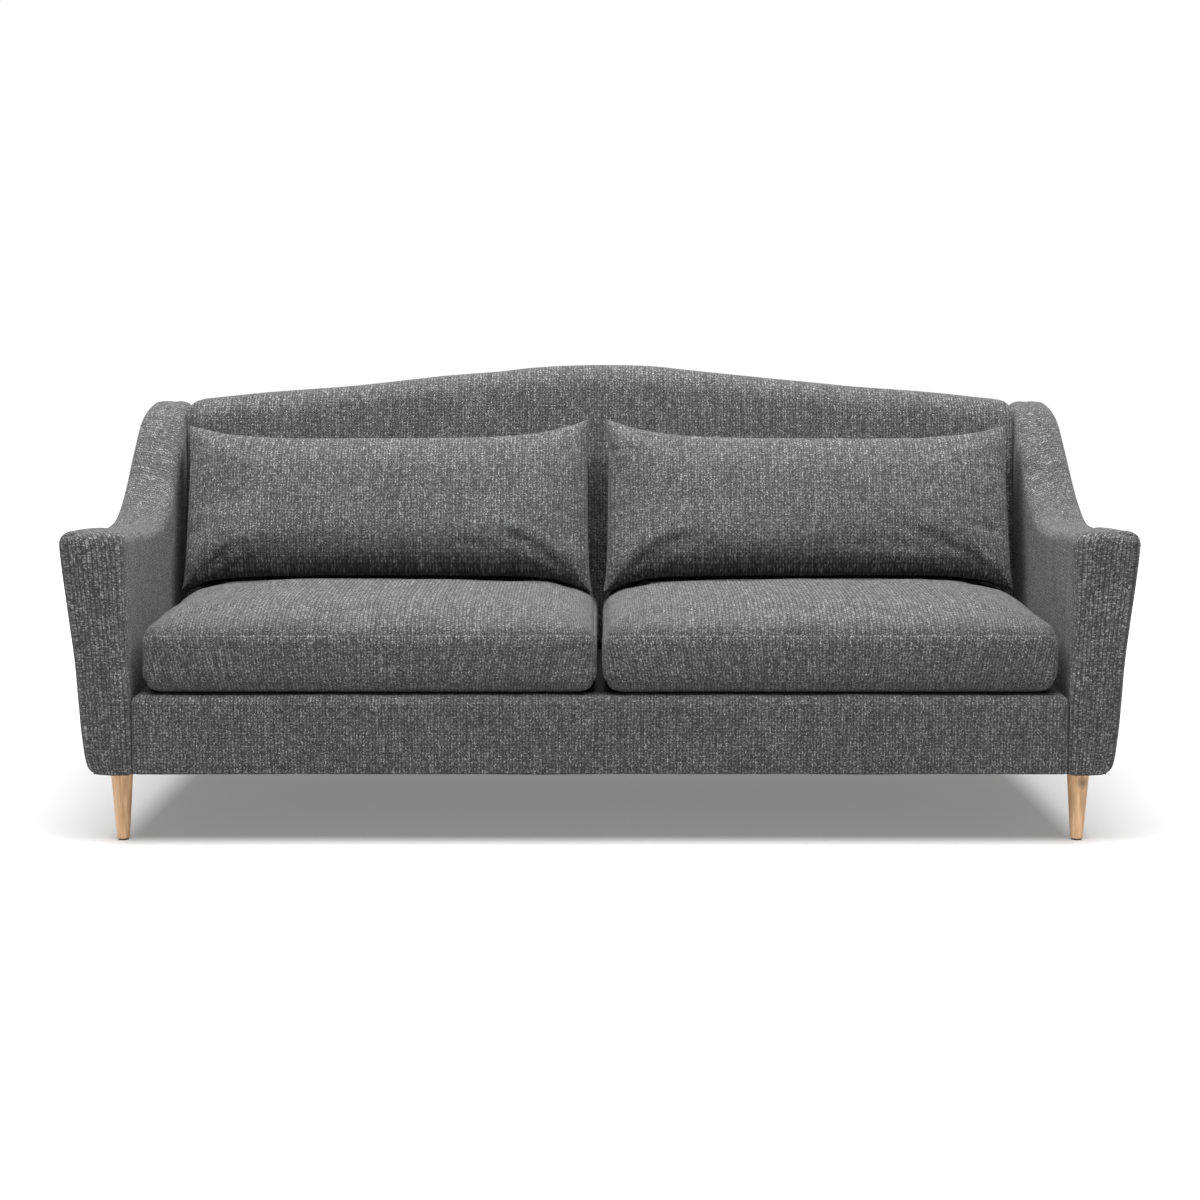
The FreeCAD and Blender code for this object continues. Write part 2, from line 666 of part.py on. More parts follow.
def seat_cushion_parts():
    outer, lining = seat_block(0), seat_block(CLOTH)
    length = SEAT_OUTER_X - SEAT_INNER_X - 2 * ZIP_END_GAP
    at = Vector(SEAT_INNER_X + ZIP_END_GAP, SEAT_REAR, SEAT_ZIP_Z)
    tape, slider = zip_on(length, at, Vector(1, 0, 0), Vector(0, 0, 1), Vector(0, 1, 0))
    return {
        "seat_cushion_cover": outer.cut(lining),
        "seat_cushion_core": seat_block(CLOTH + SEAT_WADDING),
        "seat_zip": tape,
        "seat_zip_slider": slider,
    }


def pillow_block(inset):
    """A pillow standing on its rim at the origin, thickest a little below its middle, with a thin rim all round."""
    x0, x1, h, rim = PILLOW_INNER_X, PILLOW_OUTER_X, PILLOW_LENGTH, PILLOW_RIM
    belly = PILLOW_THICKNESS / 2
    mid_x = (x0 + x1) / 2

    def lens(low, mid, high, at):
        front = Part.Arc(at(low, -rim), at(mid, -belly), at(high, -rim)).toShape()
        rear = Part.Arc(at(high, rim), at(mid, belly), at(low, rim)).toShape()
        ends = [Part.makeLine(at(high, -rim), at(high, rim)), Part.makeLine(at(low, rim), at(low, -rim))]
        return [front, rear] + ends

    across = solid_of(lens(x0, mid_x, x1, lambda x, y: Vector(x, y, -FAR)), Vector(0, 0, 2 * FAR), inset)
    upward = solid_of(lens(0, h * PILLOW_BULGE, h, lambda z, y: Vector(-FAR, y, z)), Vector(2 * FAR, 0, 0), inset)
    return across.common(upward)


def leaned(shape):
    """Leans a standing pillow against the back."""
    shape = shape.copy()
    shape.rotate(Vector(0, 0, 0), Vector(1, 0, 0), -PILLOW_LEAN)
    shape.translate(Vector(0, *PILLOW_FOOT))
    return shape


def back_cushion_parts():
    length = PILLOW_OUTER_X - PILLOW_INNER_X - 2 * ZIP_END_GAP
    at = Vector(PILLOW_INNER_X + ZIP_END_GAP, 0, 0)
    tape, slider = zip_on(length, at, Vector(1, 0, 0), Vector(0, 1, 0), Vector(0, 0, -1))
    parts = {
        "back_cushion_cover": pillow_block(0).cut(pillow_block(CLOTH)),
        "back_cushion_filling": pillow_block(CLOTH + 2),
        "back_zip": tape,
        "back_zip_slider": slider,
    }
    return {name: leaned(shape) for name, shape in parts.items()}


def both_sides(parts):
    made = {}
    for name, shape in parts.items():
        made[name + "_right"] = shape
        made[name + "_left"] = mirrored(shape)
    return made


def bored(parts, names, tools):
    for name in names:
        parts[name] = parts[name].cut(tools)


def main():
    parts = {**seat_parts(), **spring_parts(), **leg_parts(), **back_parts()}
    parts.update(both_sides({**arm_parts(), **seat_cushion_parts(), **back_cushion_parts()}))
    parts["frame_bolts"] = frame_bolts()
    sides = [n + s for n in ("arm_inner_panel", "arm_rails", "seat_side_rail") for s in ("_left", "_right")]
    bored(parts, sides + ["front_rail", "rear_rail", "back_posts", "corner_blocks"], parts["frame_bolts"])
    bored(parts, sides + ["front_rail", "rear_rail", "corner_blocks"], leg_bores())
    os.makedirs("parts", exist_ok=True)
    for name in sorted(parts):
        shape = parts[name]
        print(f"{name}: {len(shape.Solids)} solids, {shape.Volume / 1e6:.3f} litres, valid {shape.isValid()}")
        shape.exportStep(f"parts/{name}.step")
    print(len(parts), "nodes")


main()
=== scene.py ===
"""Looks for the sofa: upholstery, cushions, wooden legs, floor, light and camera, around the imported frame."""
import math

import bmesh
import bpy
import numpy as np
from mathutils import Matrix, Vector
from mathutils.bvhtree import BVHTree
from mathutils.kdtree import KDTree


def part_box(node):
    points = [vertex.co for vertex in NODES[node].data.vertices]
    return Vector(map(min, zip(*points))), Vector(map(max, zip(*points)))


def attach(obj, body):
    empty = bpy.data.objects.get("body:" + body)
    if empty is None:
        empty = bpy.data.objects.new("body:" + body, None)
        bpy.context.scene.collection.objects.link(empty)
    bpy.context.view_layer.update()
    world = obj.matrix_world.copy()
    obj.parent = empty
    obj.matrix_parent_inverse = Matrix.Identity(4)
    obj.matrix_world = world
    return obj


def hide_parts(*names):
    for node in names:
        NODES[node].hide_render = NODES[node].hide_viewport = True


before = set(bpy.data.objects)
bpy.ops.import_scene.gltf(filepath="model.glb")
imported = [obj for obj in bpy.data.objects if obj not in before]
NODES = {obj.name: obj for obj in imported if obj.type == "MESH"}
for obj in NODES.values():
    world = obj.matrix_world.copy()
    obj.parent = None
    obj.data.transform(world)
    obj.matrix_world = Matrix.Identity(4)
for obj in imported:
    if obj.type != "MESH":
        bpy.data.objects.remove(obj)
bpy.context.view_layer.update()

# The upholstered shapes, in metres, as the frame has them. The curves are the arms' top as (y, z), the arms'
# outer face as (z, x) and the back's crest as (x, z).
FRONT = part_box("arm_cover_right")[0].y
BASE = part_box("arm_cover_right")[0].z
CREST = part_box("back_cover")[1].z
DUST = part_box("dust_cover")[0].z
ARM_BOTTOM = DUST - 0.0004
ARM_TOP = [(FRONT, 0.620), (-0.290, 0.612), (-0.120, 0.598), (0.020, 0.613), (0.130, 0.664)]
ARM_TOP += [(0.240, 0.744), (0.330, 0.808), (0.430, 0.834), (0.470, 0.838)]
FLARE = [(0.100, 0.992), (0.139, 0.999), (0.160, 1.006), (0.211, 1.014), (0.290, 1.020), (0.369, 1.025)]
FLARE += [(0.448, 1.034), (0.526, 1.043), (0.594, 1.049), (0.700, 1.052), (0.900, 1.052)]
CAMEL = [(0.0, 0.918), (0.09, 0.916), (0.21, 0.907), (0.42, 0.887), (0.66, 0.864), (0.88, 0.845), (0.95, 0.837)]
TAPER = 0.030
REAR_TOP = 0.83  # the height at which the arms' rear ends are measured
TUCK = 0.003  # how far the pieces between the arms go into them
BACK_FOOT, BACK_LEAN, BACK_ROUND = 0.299, 0.198, 0.030
REAR_SEAM = 0.048  # how far under the crest the outside back is sewn on
PANEL_THICK = 0.0026  # of the outside back, with its lining
BORDER_LOW, BORDER_HIGH = np.array([-0.456, 0.141]), np.array([-0.392, 0.297])  # y and z
DECK_LOW, DECK_HIGH, DECK_END = (-0.391, 0.2715), (0.3775, 0.2958), 0.917
SIDES = {1: "right", -1: "left"}


def smooth_curve(points):
    """A function through points (x, y), with rounded bends between them."""
    xs, ys = (np.array(c, float) for c in zip(*points))
    fine = np.linspace(xs[0], xs[-1], 400)
    slopes = np.gradient(ys, xs)
    i = np.clip(np.searchsorted(xs, fine, side="right") - 1, 0, len(xs) - 2)
    h = xs[i + 1] - xs[i]
    t = (fine - xs[i]) / h
    a, b = 2 * t**3 - 3 * t**2 + 1, t**3 - 2 * t**2 + t
    values = a * ys[i] + b * h * slopes[i] + (1 - a) * ys[i + 1] + (t**3 - t**2) * h * slopes[i + 1]
    return lambda x: np.interp(x, fine, values)


arm_top = smooth_curve(ARM_TOP)
flare = smooth_curve(FLARE)
camel = smooth_curve(CAMEL)


def inner_x(z):
    """An arm's inner face, which leans out a little."""
    return 0.917 + 0.012 * (z - BASE)


def outer_x(y, z):
    """An arm's outer face, which flares upwards and draws in towards the rear."""
    return flare(z) - TAPER * (y - FRONT)


def rear_y(z):
    """The rear of the arms and the back."""
    return 0.460 - 0.0617 * (CREST - 0.040 - z)


def back_front_y(z):
    """The front of the back, which leans backwards from its foot."""
    return 0.210 + BACK_LEAN * (z - BACK_FOOT)


# Rounded solids as fields, and grids laid on them


def meet(a, b, r):
    """The corner of two half-spaces, rounded with radius r. Negative is inside."""
    outside = np.hypot(np.maximum(a + r, 0), np.maximum(b + r, 0))
    return np.minimum(np.maximum(a, b), -r) + outside


def gradient(points, field, step=1e-4):
    """The direction in which a field grows at points, by its growth per metre."""
    moves = np.eye(3) * step
    return np.stack([(field(points + d) - field(points - d)) / (2 * step) for d in moves], axis=-1)


def lay(points, field, rounds=6):
    """Moves points onto a field's surface along its gradient."""
    for _ in range(rounds):
        grad = gradient(points, field)
        points = points - (field(points) / np.maximum((grad**2).sum(-1), 0.05))[..., None] * grad
    return points


def push(points, field, amount):
    """Moves points outwards from a field's surface."""
    grad = gradient(points, field)
    return points + grad / np.linalg.norm(grad, axis=-1, keepdims=True) * amount[..., None]


def relax(grid, field, rounds):
    """Evens out a grid's spacing on the surface, keeping its border."""
    grid = grid.copy()
    for _ in range(rounds):
        mean = (grid[:-2, 1:-1] + grid[2:, 1:-1] + grid[1:-1, :-2] + grid[1:-1, 2:]) / 4
        grid[1:-1, 1:-1] = lay(mean, field, 2)
    return grid


def spread(start, end, count, ends=0.0):
    """Places from start to end, closer together near both ends by the share ends."""
    t = np.linspace(0, 1, count)
    t = t - ends * np.sin(2 * np.pi * t) / (2 * np.pi)
    return start + (end - start) * t


def along(points, places):
    """Points at the given shares of the length of open paths; points is (..., n, 3) and places is (m,)."""
    step = np.linalg.norm(np.diff(points, axis=-2), axis=-1)
    run = np.concatenate([np.zeros_like(step[..., :1]), np.cumsum(step, axis=-1)], axis=-1)
    run /= run[..., -1:]
    flat_p, flat_r = points.reshape(-1, *points.shape[-2:]), run.reshape(-1, run.shape[-1])
    out = [np.stack([np.interp(places, r, p[:, k]) for k in range(3)], -1) for p, r in zip(flat_p, flat_r)]
    return np.array(out).reshape(*points.shape[:-2], len(places), 3)


def hash_noise(points, scale, seed):
    """Smooth value noise from -1 to 1 at points (n, 3)."""
    q = points / scale + seed * 17.31
    cell = np.floor(q).astype(int)
    f = q - cell
    f = f * f * (3 - 2 * f)
    total = np.zeros(points.shape[:-1])
    for corner in np.ndindex(2, 2, 2):
        c = cell + np.array(corner)
        h = (c * [374761393, 668265263, 974634777]).sum(-1) + seed * 1013904223 & 0xFFFFFFFF
        h = ((h ^ (h >> 13)) * 1274126177) & 0xFFFFFFFF
        value = ((h ^ (h >> 16)) & 0xFFFF) / 32767.5 - 1
        weight = np.prod(np.where(np.array(corner) == 1, f, 1 - f), axis=-1)
        total += weight * value
    return total


# Meshes from grids


class Cloth:
    """Collects grids of points as quads, with weave coordinates in metres, and makes one mesh of them."""

    def __init__(self):
        self.points, self.faces, self.uvs, self.count = [], [], [], 0

    def grid(self, points, uv=None, shift=(0.0, 0.0)):
        """Adds a grid (a, b, 3). Its weave coordinates are the lengths along its middle lines unless given."""
        a, b = points.shape[:2]
        if uv is None:
            du = np.linalg.norm(np.diff(points, axis=0), axis=-1).mean(1)
            dv = np.linalg.norm(np.diff(points, axis=1), axis=-1).mean(0)
            u, v = np.concatenate([[0], np.cumsum(du)]), np.concatenate([[0], np.cumsum(dv)])
            uv = np.stack(np.meshgrid(u, v, indexing="ij"), -1)
        uv = uv + np.array(shift)
        index = np.arange(a * b).reshape(a, b)
        quads = np.stack([index[:-1, :-1], index[1:, :-1], index[1:, 1:], index[:-1, 1:]], -1).reshape(-1, 4)
        self.points.append(points.reshape(-1, 3))
        self.faces.append(quads + self.count)
        self.uvs.append(uv.reshape(-1, 2)[quads])
        self.count += a * b
        return self

    def make(self, name, body="frame", slot="upholstery", weld=1e-4):
        """One piece of the collected grids, welded where they meet, in the slot's finish."""
        points, faces = np.concatenate(self.points), np.concatenate(self.faces)
        mesh = bpy.data.meshes.new(name)
        mesh.from_pydata(points.tolist(), [], faces.tolist())
        layer = mesh.uv_layers.new(name="weave")
        layer.data.foreach_set("uv", np.concatenate(self.uvs).reshape(-1))
        work = bmesh.new()
        work.from_mesh(mesh)
        bmesh.ops.remove_doubles(work, verts=work.verts, dist=weld)
        bmesh.ops.dissolve_degenerate(work, edges=work.edges, dist=1e-6)
        bmesh.ops.recalc_face_normals(work, faces=work.faces)
        work.to_mesh(mesh)
        work.free()
        mesh.shade_smooth()
        mesh.materials.append(FINISHES[slot])
        piece = bpy.data.objects.new(name, mesh)
        bpy.context.scene.collection.objects.link(piece)
        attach(piece, body)
        return piece


def two_faced(front, rear, shifts=((0.0, 0.0),) * 3):
    """A thin cloth: two grids with closed edges. shifts move the weave on the front, rear and edges."""
    cloth = Cloth().grid(front, shift=shifts[0]).grid(rear[::-1], shift=shifts[1])
    for edge in (np.s_[0], np.s_[-1], np.s_[:, 0], np.s_[:, -1]):
        cloth.grid(np.stack([front[edge], rear[edge]]), shift=shifts[2])
    return cloth


def graded(length, step, fine_start=None, fine_end=None):
    """Shares of a length from 0 to 1, about step apart, starting or ending with finer steps."""
    left, right, grow = [], [], 1.45
    for fine, side in ((fine_start, left), (fine_end, right)):
        size = fine or step
        while size < step:
            side.append(size)
            size *= grow
    middle = max(length - sum(left) - sum(right), step)
    count = max(2, round(middle / step))
    steps = np.array(left + [middle / count] * count + right[::-1])
    places = np.concatenate([[0], np.cumsum(steps)])
    return places / places[-1]


def lengths_along(grid, axis):
    """How far each point of a grid lies along its line, in metres."""
    step = np.linalg.norm(np.diff(grid, axis=axis), axis=-1)
    start = np.zeros_like(np.take(step, [0], axis=axis))
    return np.concatenate([start, np.cumsum(step, axis=axis)], axis=axis)


def seam_profile(distance, depth=0.0030, reach=0.0035):
    """How far cloth stands out at a distance from a seam: it dips into the seam and swells beside it."""
    return 0.0010 * np.exp(-(((distance - 0.016) / 0.009) ** 2)) - depth * np.exp(-((distance / reach) ** 2))


def softness(points, seed, size=0.0012):
    """Slight unevenness of stuffed cloth."""
    return size * (hash_noise(points, 0.16, seed) + 0.5 * hash_noise(points, 0.06, seed + 1))


def subdivide(piece):
    """Makes a piece's cloth finer and smoother, once."""
    modifier = piece.modifiers.new("subdivide", "SUBSURF")
    modifier.levels = modifier.render_levels = 1
    modifier.uv_smooth = "PRESERVE_BOUNDARIES"
    bpy.context.view_layer.update()
    solved = piece.evaluated_get(bpy.context.evaluated_depsgraph_get())
    mesh = bpy.data.meshes.new_from_object(solved)
    piece.modifiers.clear()
    piece.data = mesh
    mesh.shade_smooth()


def close_openings(piece):
    """Closes a tube's open ends, which lie inside the arms."""
    work = bmesh.new()
    work.from_mesh(piece.data)
    open_edges = [e for e in work.edges if e.is_boundary]
    made = bmesh.ops.holes_fill(work, edges=open_edges, sides=0)["faces"]
    bmesh.ops.triangulate(work, faces=made)
    bmesh.ops.recalc_face_normals(work, faces=work.faces)
    work.to_mesh(piece.data)
    work.free()
    piece.data.shade_smooth()


# Arms


def arm_field(p):
    """The right arm as upholstered, with the front's inner edge rounder above the seat."""
    x, y, z = p[..., 0], p[..., 1], p[..., 2]
    slope = (arm_top(y + 1e-3) - arm_top(y - 1e-3)) / 2e-3
    front_inner = np.interp(z, [0.29, 0.36, 0.46, 0.60], [0.014, 0.040, 0.046, 0.047])
    body = meet(inner_x(z) - x, FRONT - y, front_inner)
    body = meet(body, x - outer_x(y, z), 0.009)
    body = meet(body, (z - arm_top(y)) / np.hypot(1, slope), 0.026)
    body = meet(body, y - rear_y(z), 0.012)
    return meet(body, ARM_BOTTOM - z, np.interp(x, [0.955, 0.985], [0.010, 0.020]))


def arm_seam_line(shares):
    """The seam from the front's outer top corner, round the top and back along it, seen from above."""
    corner = float(outer_x(FRONT, 0.6))
    plan = [(corner, FRONT), (corner - 0.030, FRONT + 0.002), (corner - 0.048, FRONT + 0.018)]
    plan += [(corner - 0.056, FRONT + 0.060)]
    plan += [(float(outer_x(y, 0.7)) - 0.055, y) for y in np.linspace(-0.36, 0.452, 12)]
    plan = np.array(plan)
    run = np.concatenate([[0], np.cumsum(np.linalg.norm(np.diff(plan, axis=0), axis=1))])
    places = shares * run[-1]
    return np.stack([np.interp(places, run, plan[:, k]) for k in range(2)], -1)


def arm_wall(share, count, face):
    """Points up an arm's wall at a share of its depth. face gives the wall's x from y and z."""
    foot = FRONT + share * (rear_y(BASE) - FRONT)
    crown = FRONT + share * (rear_y(REAR_TOP) - FRONT)
    high = float(arm_top(crown))
    levels = np.linspace(ARM_BOTTOM, high, count)
    ys = foot + (crown - foot) * (levels - ARM_BOTTOM) / (high - ARM_BOTTOM)
    return [(face(y, z), y, z) for y, z in zip(ys, levels)]


def arm_panels():
    """The right arm's two panels as grids: the inside, which wraps round the front, and the outside."""
    front_part = graded(0.125, 0.009, fine_start=0.003)
    inner_part = graded(0.90, 0.013, fine_start=0.006, fine_end=0.005)[1:]
    rows = graded(0.70, 0.0095, fine_start=0.004, fine_end=0.003)
    front_share = 0.105  # of the seam, over the arm's front
    seam_shares = np.concatenate([front_part * front_share, front_share + inner_part * (1 - front_share)])
    inside, outside = [], []
    for i, (share, (x, y)) in enumerate(zip(seam_shares, arm_seam_line(seam_shares))):
        top_point = (x, y, float(arm_top(y)))
        if i < len(front_part):
            t = front_part[i]
            levels = np.linspace(ARM_BOTTOM, 0.60, 9)
            up = [((1 - t) * outer_x(FRONT, z) + t * inner_x(z), FRONT, z) for z in levels]
            edge = (up[-1][0], FRONT, float(arm_top(FRONT)))
        else:
            up = arm_wall(inner_part[i - len(front_part)], 9, lambda y, z: inner_x(z))
            edge = up[-1]
        inside.append(along(np.array(up + [edge, top_point])[None], rows)[0])
        outside.append(along(np.array(arm_wall(share, 12, outer_x) + [top_point])[None], rows)[0])
    return np.array(inside), np.array(outside)


def laid_panel(grid, field, rounds):
    """A grid laid on its field with its weave coordinates, which follow the grid before it is evened out."""
    grid = lay(grid, field)
    u = lengths_along(grid, 0)[:, :1] * np.ones(grid.shape[:2])
    v = lengths_along(grid, 1)
    return relax(grid, field, rounds), np.stack([u, v], -1)


def arm(side, seed):
    """One arm: panels seamed along the top, a turned rear end and a closed underside."""
    inside, outside = arm_panels()
    outside[0], outside[:, -1] = inside[0], inside[:, -1]
    (inside, uv_in), (outside, uv_out) = (laid_panel(g, arm_field, 12) for g in (inside, outside))
    outside[0], outside[:, -1] = inside[0], inside[:, -1]
    for grid in (inside, outside):
        near_top = lengths_along(grid[:, ::-1], 1)[:, ::-1]
        near = np.minimum(lengths_along(grid, 0), near_top)
        soft = softness(grid, seed) * np.clip(near / 0.02, 0, 1)
        grid[:] = push(grid, arm_field, seam_profile(near) + soft)
    across = np.linspace(0, 1, 9)[:, None, None]
    rear = lay(inside[-1][None] * (1 - across) + outside[-1][None] * across, arm_field)
    rear[0], rear[-1] = inside[-1], outside[-1]
    across = spread(0, 1, 17, 0.7)[:, None, None]
    under = inside[:, 0][None] * (1 - across) + outside[:, 0][None] * across
    under[1:-1, :, 2] = ARM_BOTTOM
    under[1:-1, 1:-1] = lay(under[1:-1, 1:-1], arm_field)
    cloth = Cloth()
    for k, (grid, uv) in enumerate(((inside, uv_in), (outside, uv_out), (rear, None), (under, None))):
        grid = grid * np.array([side, 1, 1])
        cloth.grid(grid, uv, shift=(1.7 * k + 0.37 * side, 0.9 * k))
    name = SIDES[side]
    piece = cloth.make("arm_upholstery_" + name)
    subdivide(piece)
    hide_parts("arm_cover_" + name, "arm_padding_" + name)


# Finishes


class Finish:
    """Builds one material's nodes."""

    def __init__(self, name, roughness=0.7, metallic=0.0, sheen=0.0):
        self.material = bpy.data.materials.new(name)
        self.material.use_nodes = True
        self.tree = self.material.node_tree
        self.shader = self.tree.nodes["Principled BSDF"]
        self.shader.inputs["Roughness"].default_value = roughness
        self.shader.inputs["Metallic"].default_value = metallic
        self.shader.inputs["Sheen Weight"].default_value = sheen
        self.shader.inputs["Sheen Roughness"].default_value = 0.6

    def node(self, kind, inputs=(), **settings):
        """A node with its inputs set, or linked where a socket is given."""
        made = self.tree.nodes.new("ShaderNode" + kind)
        for key, value in settings.items():
            setattr(made, key, value)
        for key, value in dict(inputs).items():
            if isinstance(value, bpy.types.NodeSocket):
                self.tree.links.new(value, made.inputs[key])
            else:
                made.inputs[key].default_value = value
        return made

    def math(self, operation, a, b=0.0, c=0.0):
        return self.node("Math", {0: a, 1: b, 2: c}, operation=operation).outputs[0]

    def place(self):
        """Where a point is on the object, as x, y and z in metres."""
        at = self.node("TexCoord").outputs["Object"]
        return list(self.node("SeparateXYZ", {0: at}).outputs)

    def weave(self):
        """Where a point is on its cloth, along the weft and the warp, in metres."""
        at = self.node("UVMap", uv_map="weave").outputs["UV"]
        return list(self.node("SeparateXYZ", {0: at}).outputs)[:2]

    def noise(self, x, y, z=0.0, detail=2.0):
        at = self.node("CombineXYZ", {0: x, 1: y, 2: z}).outputs[0]
        return self.node("TexNoise", {"Vector": at, "Scale": 1.0, "Detail": detail}).outputs["Fac"]

    def speck(self, x, y):
        """A random value for each pair of whole numbers."""
        at = self.node("CombineXYZ", {0: x, 1: y, 2: 0.0}).outputs[0]
        return self.node("TexWhiteNoise", {"Vector": at}, noise_dimensions="2D").outputs["Value"]

    def ramp(self, value, *stops):
        made = self.node("ValToRGB", {0: value})
        elements = made.color_ramp.elements
        while len(elements) < len(stops):
            elements.new(0.5)
        for element, (place, colour) in zip(elements, stops):
            element.position, element.color = place, (*colour, 1.0)
        return made.outputs[0]

    def finish(self, colour, height=None, depth=0.0005, strength=0.6):
        """The material, with a colour and with a height that becomes bump depth metres deep."""
        self.tree.links.new(colour, self.shader.inputs["Base Color"])
        if height is not None:
            bump = self.node("Bump", {"Height": height, "Distance": depth, "Strength": strength})
            self.tree.links.new(bump.outputs[0], self.shader.inputs["Normal"])
        return self.material


def scaled(colour, share):
    return tuple(c * share for c in colour)


def woven_cloth(name, colour, thread=0.0032, sheen=0.06):
    """A slubby plain weave: threads made of lengths with their own shades, with painted shade on the threads'
    flanks and in the gaps between them.
    """
    f = Finish(name, roughness=0.95, sheen=sheen)
    u, v = f.weave()
    across, along_ = (f.math("DIVIDE", c, thread) for c in (u, v))
    warp_id, weft_id = (f.math("FLOOR", c) for c in (across, along_))

    def lengths(thread_id, run, length, seed):
        """A shade for each length of a thread, staggered from thread to thread."""
        start = f.speck(thread_id, seed)
        part = f.math("FLOOR", f.math("MULTIPLY_ADD", start, 9.0, f.math("DIVIDE", run, length)))
        return f.speck(f.math("ADD", thread_id, seed * 3.7), part)

    def ridge(c, per_thread):
        return f.math("ABSOLUTE", f.math("SINE", f.math("MULTIPLY", c, per_thread * math.pi)))

    over = f.math("MODULO", f.math("ABSOLUTE", f.math("ADD", warp_id, weft_id)), 2.0)
    under = f.math("SUBTRACT", 1.0, over)
    warp = f.math("MULTIPLY", lengths(warp_id, v, 0.0060, 2.3), over)
    cell = f.math("ADD", warp, f.math("MULTIPLY", lengths(weft_id, u, 0.0060, 5.9), under))
    fibre = f.speck(*(f.math("FLOOR", f.math("MULTIPLY", c, 2.0)) for c in (across, along_)))
    line = lengths(warp_id, v, 0.045, 8.1)
    cross = f.noise(f.math("DIVIDE", u, 0.05), f.math("MULTIPLY", weft_id, 7.31), 40.0)
    broad = f.noise(f.math("DIVIDE", u, 0.12), f.math("DIVIDE", v, 0.12))
    shade = -0.10
    for part, share in ((cell, 0.46), (fibre, 0.38), (line, 0.16), (cross, 0.10), (broad, 0.04)):
        shade = f.math("MULTIPLY_ADD", part, share, shade)
    stops = ((0.10, 0.14), (0.42, 0.62), (0.66, 1.6), (0.90, 4.2))
    tone = f.ramp(shade, *((place, scaled(colour, share)) for place, share in stops))
    round_u, round_v, pair_u, pair_v = (ridge(c, k) for k in (1.0, 0.5) for c in (across, along_))
    # Painted shade: the colour darkens towards each thread's edges and in the gaps between threads, and every
    # second gap is darker still.
    painted_gap_shade = 1.0
    for rise, power, depth, least in (
        (round_u, 0.6, 0.55, 0.55),
        (round_v, 0.6, 0.30, 0.77),
        (pair_u, 0.8, 1.05, 0.31),
        (pair_v, 0.7, 0.55, 0.62),
    ):
        painted_gap_shade = f.math("MULTIPLY", f.math("MULTIPLY_ADD", f.math("POWER", rise, power), depth, least), painted_gap_shade)
    mix = {"data_type": "RGBA", "blend_type": "MULTIPLY"}
    shown = f.node("Mix", {0: 1.0, 6: tone, 7: painted_gap_shade}, **mix).outputs[2]
    height = f.math("ADD", f.math("MULTIPLY", round_u, over), f.math("MULTIPLY", round_v, under))
    height = f.math("ADD", height, f.math("MULTIPLY", f.math("ADD", shade, pair_u), 0.7))
    return f.finish(shown, height, depth=0.0010, strength=0.6)


def wood(name, dark, light, fibre=260.0, length=9.0, roughness=0.45, along_axis=2, knot=None):
    """Timber with long grain along one axis, growth bands and fine pores."""
    f = Finish(name, roughness=roughness)
    at = f.place()
    at = at[along_axis + 1 :] + at[: along_axis + 1]
    band = f.noise(*(f.math("MULTIPLY", c, k) for c, k in zip(at, (34.0, 34.0, 3.2))), 3.0)
    fine = f.noise(*(f.math("MULTIPLY", c, k) for c, k in zip(at, (fibre, fibre, length))))
    grain = f.math("ADD", f.math("MULTIPLY", band, 0.65), f.math("MULTIPLY", fine, 0.45))
    middle = tuple((a + b) / 2 for a, b in zip(dark, light))
    tone = f.ramp(grain, (0.40, dark), (0.55, middle), (0.68, light))
    if knot is not None:
        here = f.node("TexCoord").outputs["Object"]
        away = f.node("VectorMath", {0: here, 1: knot}, operation="DISTANCE").outputs["Value"]
        wobble = f.math("MULTIPLY_ADD", band, 0.012, away)
        near = f.node("MapRange", {0: wobble, 1: 0.008, 2: 0.022, 3: 0.8, 4: 0.0}).outputs[0]
        heart = (*scaled(dark, 0.30), 1.0)
        tone = f.node("Mix", {0: near, 6: tone, 7: heart}, data_type="RGBA").outputs[2]
    return f.finish(tone, fine, depth=0.0003, strength=0.35)


def speckled(name, colour, scale, roughness=0.6, metallic=0.0, contrast=0.25, depth=0.0002):
    """A moulded, foamed or drawn surface with fine grain."""
    f = Finish(name, roughness=roughness, metallic=metallic)
    grain = f.noise(*(f.math("MULTIPLY", c, scale) for c in f.place()), 3.0)
    tone = f.ramp(grain, (0.3, scaled(colour, 1 - contrast)), (0.7, scaled(colour, 1 + contrast)))
    return f.finish(tone, grain, depth=depth, strength=0.4)


def strap_weave(name, colour, pitch):
    """Woven strap or lining cloth on a flat part, from its place on the object, with painted shade that makes
    its grooves darker than its ridges.
    """
    f = Finish(name, roughness=0.85)
    x, y, z = f.place()
    lines = (x, f.math("ADD", y, z))
    ridges = (f.math("SINE", f.math("MULTIPLY", c, math.pi / pitch)) for c in lines)
    height = f.math("MULTIPLY", *(f.math("ABSOLUTE", c) for c in ridges))
    # Painted shade: the colour is darker in the weave's grooves and lighter on its ridges.
    tone = f.ramp(height, (0.0, scaled(colour, 0.6)), (1.0, scaled(colour, 1.2)))
    return f.finish(tone, height, depth=0.0004)


